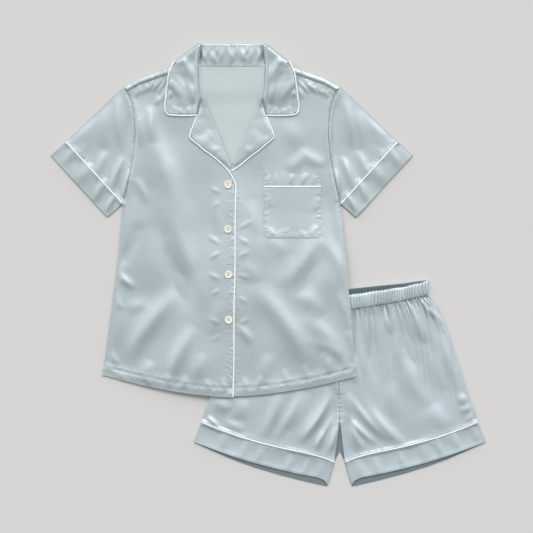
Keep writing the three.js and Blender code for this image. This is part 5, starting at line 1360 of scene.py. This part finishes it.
class Value:
    """A socket of a node tree, or a plain number, that arithmetic turns into maths nodes."""

    def __init__(self, tree, socket):
        self.tree = tree
        self.socket = socket

    def maths(self, operation, *others):
        """A maths node of this value and others."""
        node = self.tree.nodes.new("ShaderNodeMath")
        node.operation = operation
        for slot, other in zip(node.inputs, (self, *others)):
            link(self.tree, slot, other)
        return Value(self.tree, node.outputs[0])

    def __add__(self, other):
        return self.maths("ADD", other)

    def __sub__(self, other):
        return self.maths("SUBTRACT", other)

    def __mul__(self, other):
        return self.maths("MULTIPLY", other)

    def __rsub__(self, other):
        return (self * -1.0) + other

    def __truediv__(self, other):
        return self.maths("DIVIDE", other)

    def __pow__(self, other):
        return self.maths("POWER", other)

    __radd__ = __add__
    __rmul__ = __mul__

    def sine(self):
        """The sine of this value."""
        return self.maths("SINE")

    def clamped(self, low=0.0, high=1.0):
        """This value kept between two limits."""
        return self.maths("MAXIMUM", low).maths("MINIMUM", high)


def link(tree, slot, value):
    """Joins a value to a socket, or sets the socket to a plain value."""
    if isinstance(value, Value):
        tree.links.new(value.socket, slot)
    else:
        slot.default_value = value


class Look:
    """One procedural material: its node tree, its shader, and a method that adds any node."""

    def __init__(self, name):
        self.material = bpy.data.materials.new(name)
        self.material.use_nodes = True
        self.tree = self.material.node_tree
        self.shader = self.tree.nodes["Principled BSDF"]

    def node(self, kind, output=0, settings=None, **values):
        """Adds a node with its settings and values. Underscores in a value's name stand for spaces."""
        made = self.tree.nodes.new(kind)
        for key, value in (settings or {}).items():
            setattr(made, key, value)
        for key, value in values.items():
            slot = made.inputs[int(key[1:])] if key[1:].isdigit() else made.inputs[key.replace("_", " ")]
            link(self.tree, slot, value)
        return Value(self.tree, made.outputs[output])

    def set(self, name, value):
        """Sets or links one of the shader's own sockets."""
        link(self.tree, self.shader.inputs[name], value)

    def mix(self, factor, first, second):
        """A mix of two colours."""
        return self.node("ShaderNodeMix", 2, {"data_type": "RGBA"}, _0=factor, _6=first, _7=second)

    def noise(self, vector, scale, detail=2.0, roughness=0.5):
        """Noise of the given scale at a vector."""
        values = {"Vector": vector, "Scale": scale, "Detail": detail, "Roughness": roughness}
        return self.node("ShaderNodeTexNoise", 0, None, **values)

    def bump(self, height, strength, distance, normal=None):
        """A bump from a height."""
        extra = {} if normal is None else {"Normal": normal}
        return self.node("ShaderNodeBump", 0, None, Strength=strength, Distance=distance, Height=height, **extra)


def linear(colour):
    """A display colour of 0 to 255 as the linear colour that sockets hold."""
    c = np.array(colour) / 255.0
    value = np.where(c <= 0.04045, c / 12.92, ((c + 0.055) / 1.055) ** 2.4)
    return (*value.tolist(), 1.0)


def satin_look(name, colour, settings, metallic, roughness, weave=0.035):
    """Satin: a metallic sheen, a fine weave, cross-creases by its seams and a slow change of tone."""
    look = Look(name)
    uv = look.node("ShaderNodeUVMap", 0, {"uv_map": "cloth"})
    place = look.node("ShaderNodeTexCoord", 3)
    run = look.node("ShaderNodeAttribute", 2, {"attribute_name": "run"})
    pucker = look.node("ShaderNodeAttribute", 2, {"attribute_name": "pucker"})
    split = look.node("ShaderNodeSeparateXYZ", 0, None, Vector=uv)
    across = split
    along = Value(look.tree, split.socket.node.outputs[1])
    warp = (across * 2 * np.pi / 0.0007).sine() * (along * 2 * np.pi / 0.0007).sine()
    cloud = look.noise(place, 16.0, 3.0)
    grain = look.noise(place, 1500.0, 1.0)
    strip = look.node("ShaderNodeCombineXYZ", 0, None, X=run * 150.0, Y=pucker * 1.4)
    ripple = look.noise(strip, 1.0, 2.0, 0.45)
    crinkle = look.noise(place, 95.0, 3.0, 0.55)
    height = (ripple + crinkle * 0.3) * pucker * settings.pucker_height
    height = height + look.noise(place, 34.0, 3.0, 0.5) * settings.crease_height
    normal = look.bump(height, 1.0, 1.0)
    normal = look.bump(warp * weave + grain * weave, 0.25, 0.001, normal)
    pale = linear([min(255.0, c * 1.035) for c in colour])
    dark = linear([c * 0.96 for c in colour])
    look.set("Base Color", look.mix(cloud, dark, pale))
    look.set("Roughness", look.noise(place, 60.0) * 0.08 + (roughness - 0.04))
    look.set("Metallic", metallic)
    look.set("Normal", normal)
    look.set("Sheen Weight", 0.1)
    look.set("Sheen Roughness", 0.5)
    return look.material


def piping_look(colour):
    """Piping: a near-white satin cord with a fine slanting twist."""
    look = Look("piping_cord")
    uv = look.node("ShaderNodeUVMap", 0, {"uv_map": "cloth"})
    place = look.node("ShaderNodeTexCoord", 3)
    split = look.node("ShaderNodeSeparateXYZ", 0, None, Vector=uv)
    along = split
    around = Value(look.tree, split.socket.node.outputs[1])
    twist = ((along + around * 0.6) * 2 * np.pi / 0.0021).sine()
    ripple = look.noise(place, 160.0, 2.0)
    normal = look.bump(twist * 0.06 + ripple * 0.35, 0.6, 0.001)
    darker = linear([c * 0.97 for c in colour])
    look.set("Base Color", look.mix(look.noise(place, 40.0), darker, linear(colour)))
    look.set("Roughness", 0.42)
    look.set("Normal", normal)
    look.set("Sheen Weight", 0.15)
    return look.material


def button_look(colour):
    """Button: smooth ivory with a faint cloudiness."""
    look = Look("ivory_shell")
    place = look.node("ShaderNodeTexCoord", 3)
    cloud = look.noise(place, 140.0, 2.0)
    look.set("Base Color", look.mix(cloud, linear([c * 0.95 for c in colour]), linear(colour)))
    look.set("Roughness", 0.28)
    look.set("Coat Weight", 0.3)
    return look.material


def thread_look(colour):
    """Thread: matte, with a fine grain."""
    look = Look("fine_thread")
    place = look.node("ShaderNodeTexCoord", 3)
    grain = look.noise(place, 1800.0)
    look.set("Base Color", look.mix(grain, linear([c * 0.93 for c in colour]), linear(colour)))
    look.set("Roughness", 0.6)
    return look.material


def floor_look(colour):
    """Floor: a plain pale surface with a barely uneven tone."""
    look = Look("pale_floor")
    place = look.node("ShaderNodeTexCoord", 3)
    tone = look.noise(place, 3.0)
    look.set("Base Color", look.mix(tone, linear([c * 0.995 for c in colour]), linear(colour)))
    look.set("Roughness", 0.9)
    look.set("Specular IOR Level", 0.1)
    return look.material


class SatinSettings(bpy.types.PropertyGroup):
    """Sizes and colours of the cloth."""

    face: FloatVectorProperty(
        name="Face colour", description="Colour of the satin's shiny side, 0 to 255", size=3,
        default=(178.0, 191.0, 195.0), min=0.0, max=255.0,
    )
    reverse: FloatVectorProperty(
        name="Reverse colour", description="Colour of the satin's dull side, 0 to 255", size=3,
        default=(190.0, 201.0, 203.0), min=0.0, max=255.0,
    )
    shorts: FloatVectorProperty(
        name="Shorts colour", description="Colour of the shorts' satin, 0 to 255", size=3,
        default=(184.0, 198.0, 204.0), min=0.0, max=255.0,
    )
    # The shorts' dull side, much darker than their satin: painted shade for the inside that shows between the legs
    # and in the waistband and hem openings.
    shorts_reverse_painted_shade: FloatVectorProperty(
        name="Shorts reverse colour", description="Colour of the shorts' dull side, 0 to 255", size=3,
        default=(112.0, 128.0, 134.0), min=0.0, max=255.0,
    )
    roughness: FloatProperty(
        name="Roughness", description="Roughness of the satin's shiny side", default=0.42, min=0.1, max=0.9,
    )
    metallic: FloatProperty(
        name="Sheen", description="Metallic share of the satin's shiny side", default=0.62, min=0.0, max=1.0,
    )
    pucker_height: FloatProperty(
        name="Pucker height", description="Height of the fine creases beside seams", default=0.0011,
        min=0.0, max=0.004, unit="LENGTH", precision=4,
    )
    crease_height: FloatProperty(
        name="Crease height", description="Height of the small creases in the open cloth", default=0.0004,
        min=0.0, max=0.004, unit="LENGTH", precision=4,
    )


class TrimSettings(bpy.types.PropertyGroup):
    """Colours of the piping, buttons and threads."""

    piping: FloatVectorProperty(
        name="Piping colour", description="Colour of the piping, 0 to 255", size=3,
        default=(246.0, 248.0, 248.0), min=0.0, max=255.0,
    )
    button: FloatVectorProperty(
        name="Button colour", description="Colour of the buttons, 0 to 255", size=3,
        default=(240.0, 236.0, 224.0), min=0.0, max=255.0,
    )
    thread: FloatVectorProperty(
        name="Thread colour", description="Colour of the stitching, 0 to 255", size=3,
        default=(196.0, 206.0, 208.0), min=0.0, max=255.0,
    )


class StageSettings(bpy.types.PropertyGroup):
    """The floor, the camera and the lights."""

    floor: FloatVectorProperty(
        name="Floor colour", description="Colour of the floor, 0 to 255", size=3,
        default=(208.5, 207.5, 205.5), min=0.0, max=255.0,
    )
    floor_size: FloatProperty(
        name="Floor size", description="Length of the floor's sides", default=9.0,
        min=1.0, max=30.0, unit="LENGTH",
    )
    distance: FloatProperty(
        name="Camera height", description="Height of the camera above the floor", default=5.922, min=1.0, max=20.0,
        unit="LENGTH",
    )
    lens: FloatProperty(
        name="Lens", description="Focal length in millimetres", default=200.0, min=20.0, max=400.0,
    )
    key_power: FloatProperty(
        name="Key light", description="Power of the soft light from beyond the collar", default=1.25,
        min=0.0, max=20.0,
    )
    key_width: FloatProperty(
        name="Key width", description="Angle that the key light fills", default=0.45,
        min=0.0, max=3.0, unit="ROTATION",
    )
    fill_power: FloatProperty(
        name="Fill light", description="Power of the soft light from the other side", default=0.45,
        min=0.0, max=20.0,
    )
    fill_width: FloatProperty(
        name="Fill width", description="Angle that the fill light fills", default=0.8, min=0.0, max=3.0,
        unit="ROTATION",
    )
    world: FloatProperty(
        name="Room light", description="Strength of the room's light on the side of the key light", default=1.27,
        min=0.0, max=5.0,
    )
    world_dark: FloatProperty(
        name="Room shade", description="Strength of the room's light on the other side", default=0.1,
        min=0.0, max=5.0,
    )


def looks():
    """The materials, made once and found by name afterwards."""
    scene = bpy.context.scene
    satin, trim, stage = scene.satin_settings, scene.trim_settings, scene.stage_settings
    makers = {
        "shirt_satin": lambda: satin_look("shirt_satin", satin.face, satin, satin.metallic, satin.roughness),
        "shorts_satin": lambda: satin_look("shorts_satin", satin.shorts, satin, satin.metallic, satin.roughness),
        "dull_reverse": lambda: satin_look("dull_reverse", satin.reverse, satin, 0.0, 0.62),
        # The shorts' dull side: its dark colour is painted shade.
        "shorts_reverse_painted_shade": lambda: satin_look("shorts_reverse_painted_shade", satin.shorts_reverse_painted_shade, satin, 0.2, 0.5),
        "piping_cord": lambda: piping_look(trim.piping),
        "ivory_shell": lambda: button_look(trim.button),
        "fine_thread": lambda: thread_look(trim.thread),
        "pale_floor": lambda: floor_look(stage.floor),
    }
    return {name: bpy.data.materials.get(name) or make() for name, make in makers.items()}


class PYJAMA_OT_back(bpy.types.Operator):
    """Make the back panel with the strips over the shoulders"""

    bl_idname = "pyjama.back"
    bl_label = "Back"

    def execute(self, context):
        made = looks()
        piece = make_back([made["shirt_satin"], made["dull_reverse"]])
        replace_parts(piece, "shirt_back")
        return {"FINISHED"}


class PYJAMA_OT_fronts(bpy.types.Operator):
    """Make both fronts"""

    bl_idname = "pyjama.fronts"
    bl_label = "Fronts"

    def execute(self, context):
        made = looks()
        for side in SIDES:
            piece = make_front(side, [made["shirt_satin"], made["dull_reverse"]])
            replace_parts(piece, f"front_{side}")
        return {"FINISHED"}


class PYJAMA_OT_sleeves(bpy.types.Operator):
    """Make both sleeves with their cuffs"""

    bl_idname = "pyjama.sleeves"
    bl_label = "Sleeves and cuffs"

    def execute(self, context):
        made = looks()
        for side in SIDES:
            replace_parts(make_sleeve(side, [made["shirt_satin"], made["dull_reverse"]]), f"sleeve_{side}")
            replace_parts(make_cuff(side, [made["shirt_satin"], made["dull_reverse"]]), f"cuff_{side}")
        return {"FINISHED"}


class PYJAMA_OT_collar(bpy.types.Operator):
    """Make the collar and both lapels"""

    bl_idname = "pyjama.collar"
    bl_label = "Collar and lapels"

    def execute(self, context):
        made = looks()
        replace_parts(make_collar([made["shirt_satin"], made["dull_reverse"]]), "collar")
        for side in SIDES:
            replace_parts(make_lapel(side, [made["shirt_satin"], made["dull_reverse"]]), f"lapel_{side}")
        return {"FINISHED"}


class PYJAMA_OT_pocket(bpy.types.Operator):
    """Make the pocket and its band"""

    bl_idname = "pyjama.pocket"
    bl_label = "Pocket"

    def execute(self, context):
        made = looks()
        make_pocket([made["shirt_satin"], made["dull_reverse"]])
        return {"FINISHED"}


class PYJAMA_OT_shirt_piping(bpy.types.Operator):
    """Make the shirt's piping"""

    bl_idname = "pyjama.shirt_piping"
    bl_label = "Shirt piping"

    def execute(self, context):
        make_shirt_piping([looks()["piping_cord"]])
        return {"FINISHED"}


class PYJAMA_OT_buttons(bpy.types.Operator):
    """Make the buttons and their threads"""

    bl_idname = "pyjama.buttons"
    bl_label = "Buttons"

    def execute(self, context):
        made = looks()
        make_buttons(made["ivory_shell"], made["fine_thread"])
        return {"FINISHED"}


class PYJAMA_OT_shorts(bpy.types.Operator):
    """Make the shorts' legs, waistband, hem bands and piping"""

    bl_idname = "pyjama.shorts"
    bl_label = "Shorts"

    def execute(self, context):
        made = looks()
        # The shorts' reverse faces take the dark colour, which is painted shade where the inside shows.
        cloth = [made["shorts_satin"], made["shorts_reverse_painted_shade"]]
        for side in SIDES:
            for layer in ("front", "back"):
                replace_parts(make_leg(side, layer, cloth), f"shorts_{layer}_{side}")
            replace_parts(make_hem_band(side, cloth), f"hem_band_{side}")
            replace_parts(make_leg_piping(side, [made["piping_cord"]]), f"leg_piping_{side}")
        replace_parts(make_waistband(cloth), "waistband")
        return {"FINISHED"}


class PYJAMA_OT_stitches(bpy.types.Operator):
    """Make the rows of stitches"""

    bl_idname = "pyjama.stitches"
    bl_label = "Stitches"

    def execute(self, context):
        make_stitches(looks()["fine_thread"])
        return {"FINISHED"}


def far_light(name, towards, width, power):
    """A far, wide light whose rays come from a given way, so that the whole floor gets the same light."""
    data = bpy.data.lights.new(name, "SUN")
    data.angle = width
    data.energy = power
    lamp = bpy.data.objects.new(name, data)
    lamp.rotation_euler = Vector(towards).to_track_quat("Z", "Y").to_euler()
    bpy.context.collection.objects.link(lamp)
    return lamp


class PYJAMA_OT_stage(bpy.types.Operator):
    """Set the floor, the camera straight above and the soft studio light"""

    bl_idname = "pyjama.stage"
    bl_label = "Stage"

    def execute(self, context):
        stage = context.scene.stage_settings
        half = stage.floor_size / 2
        mesh = bpy.data.meshes.new("floor")
        corners = [(x * half, y * half, -0.0004) for x, y in ((-1, -1), (1, -1), (1, 1), (-1, 1))]
        mesh.from_pydata(corners, [], [(0, 1, 2, 3)])
        mesh.materials.append(looks()["pale_floor"])
        floor = bpy.data.objects.new("floor", mesh)
        context.collection.objects.link(floor)
        data = bpy.data.cameras.new("camera")
        data.lens = stage.lens
        data.sensor_width = 36.0
        camera = bpy.data.objects.new("camera", data)
        camera.location = (-0.001, -0.003, stage.distance)
        context.collection.objects.link(camera)
        context.scene.camera = camera
        far_light("key", (0.35, 1.6, 2.1), stage.key_width, stage.key_power)
        far_light("fill", (-1.7, 0.3, 1.5), stage.fill_width, stage.fill_power)
        world = bpy.data.worlds.new("world")
        world.use_nodes = True
        background = world.node_tree.nodes["Background"]
        background.inputs["Color"].default_value = (1.0, 1.0, 1.0, 1.0)
        tree = world.node_tree
        way = tree.nodes.new("ShaderNodeTexCoord")
        toward = tree.nodes.new("ShaderNodeVectorMath")
        toward.operation = "DOT_PRODUCT"
        toward.inputs[1].default_value = Vector((0.1, 0.95, 0.3)).normalized()
        tone = tree.nodes.new("ShaderNodeMapRange")
        tone.interpolation_type = "SMOOTHSTEP"
        tone.inputs["From Min"].default_value = -0.45
        tone.inputs["From Max"].default_value = 0.95
        tone.inputs["To Min"].default_value = stage.world_dark
        tone.inputs["To Max"].default_value = stage.world
        tree.links.new(way.outputs["Generated"], toward.inputs[0])
        tree.links.new(toward.outputs["Value"], tone.inputs["Value"])
        tree.links.new(tone.outputs["Result"], background.inputs["Strength"])
        context.scene.world = world
        context.scene.view_settings.view_transform = "Standard"
        return {"FINISHED"}


OPERATORS = (
    PYJAMA_OT_back, PYJAMA_OT_fronts, PYJAMA_OT_sleeves, PYJAMA_OT_collar, PYJAMA_OT_pocket,
    PYJAMA_OT_shirt_piping, PYJAMA_OT_buttons, PYJAMA_OT_shorts, PYJAMA_OT_stitches, PYJAMA_OT_stage,
)


class PYJAMA_PT_panel(bpy.types.Panel):
    """Lists the operators and the settings"""

    bl_idname = "PYJAMA_PT_panel"
    bl_label = "Pyjama set"
    bl_space_type = "VIEW_3D"
    bl_region_type = "UI"
    bl_category = "Pyjama set"

    def draw(self, context):
        layout = self.layout
        for operator in OPERATORS:
            layout.operator(operator.bl_idname)
        for name in SETTINGS:
            group = getattr(context.scene, name)
            box = layout.box()
            for field in group.bl_rna.properties.keys():
                if field not in {"rna_type", "name"}:
                    box.prop(group, field)


SETTINGS = {"satin_settings": SatinSettings, "trim_settings": TrimSettings, "stage_settings": StageSettings}
CLASSES = (*SETTINGS.values(), *OPERATORS, PYJAMA_PT_panel)


def register():
    """Registers the classes and adds the settings to the scene."""
    for item in CLASSES:
        bpy.utils.register_class(item)
    for name, group in SETTINGS.items():
        setattr(bpy.types.Scene, name, PointerProperty(type=group))


def unregister():
    """Takes the settings and the classes away again."""
    for name in SETTINGS:
        delattr(bpy.types.Scene, name)
    for item in reversed(CLASSES):
        bpy.utils.unregister_class(item)


def main():
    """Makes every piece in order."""
    register()
    bpy.ops.pyjama.stage()
    bpy.ops.pyjama.back()
    bpy.ops.pyjama.fronts()
    bpy.ops.pyjama.sleeves()
    bpy.ops.pyjama.collar()
    bpy.ops.pyjama.pocket()
    bpy.ops.pyjama.shirt_piping()
    bpy.ops.pyjama.buttons()
    bpy.ops.pyjama.shorts()
    bpy.ops.pyjama.stitches()


if __name__ == "__main__":
    main()
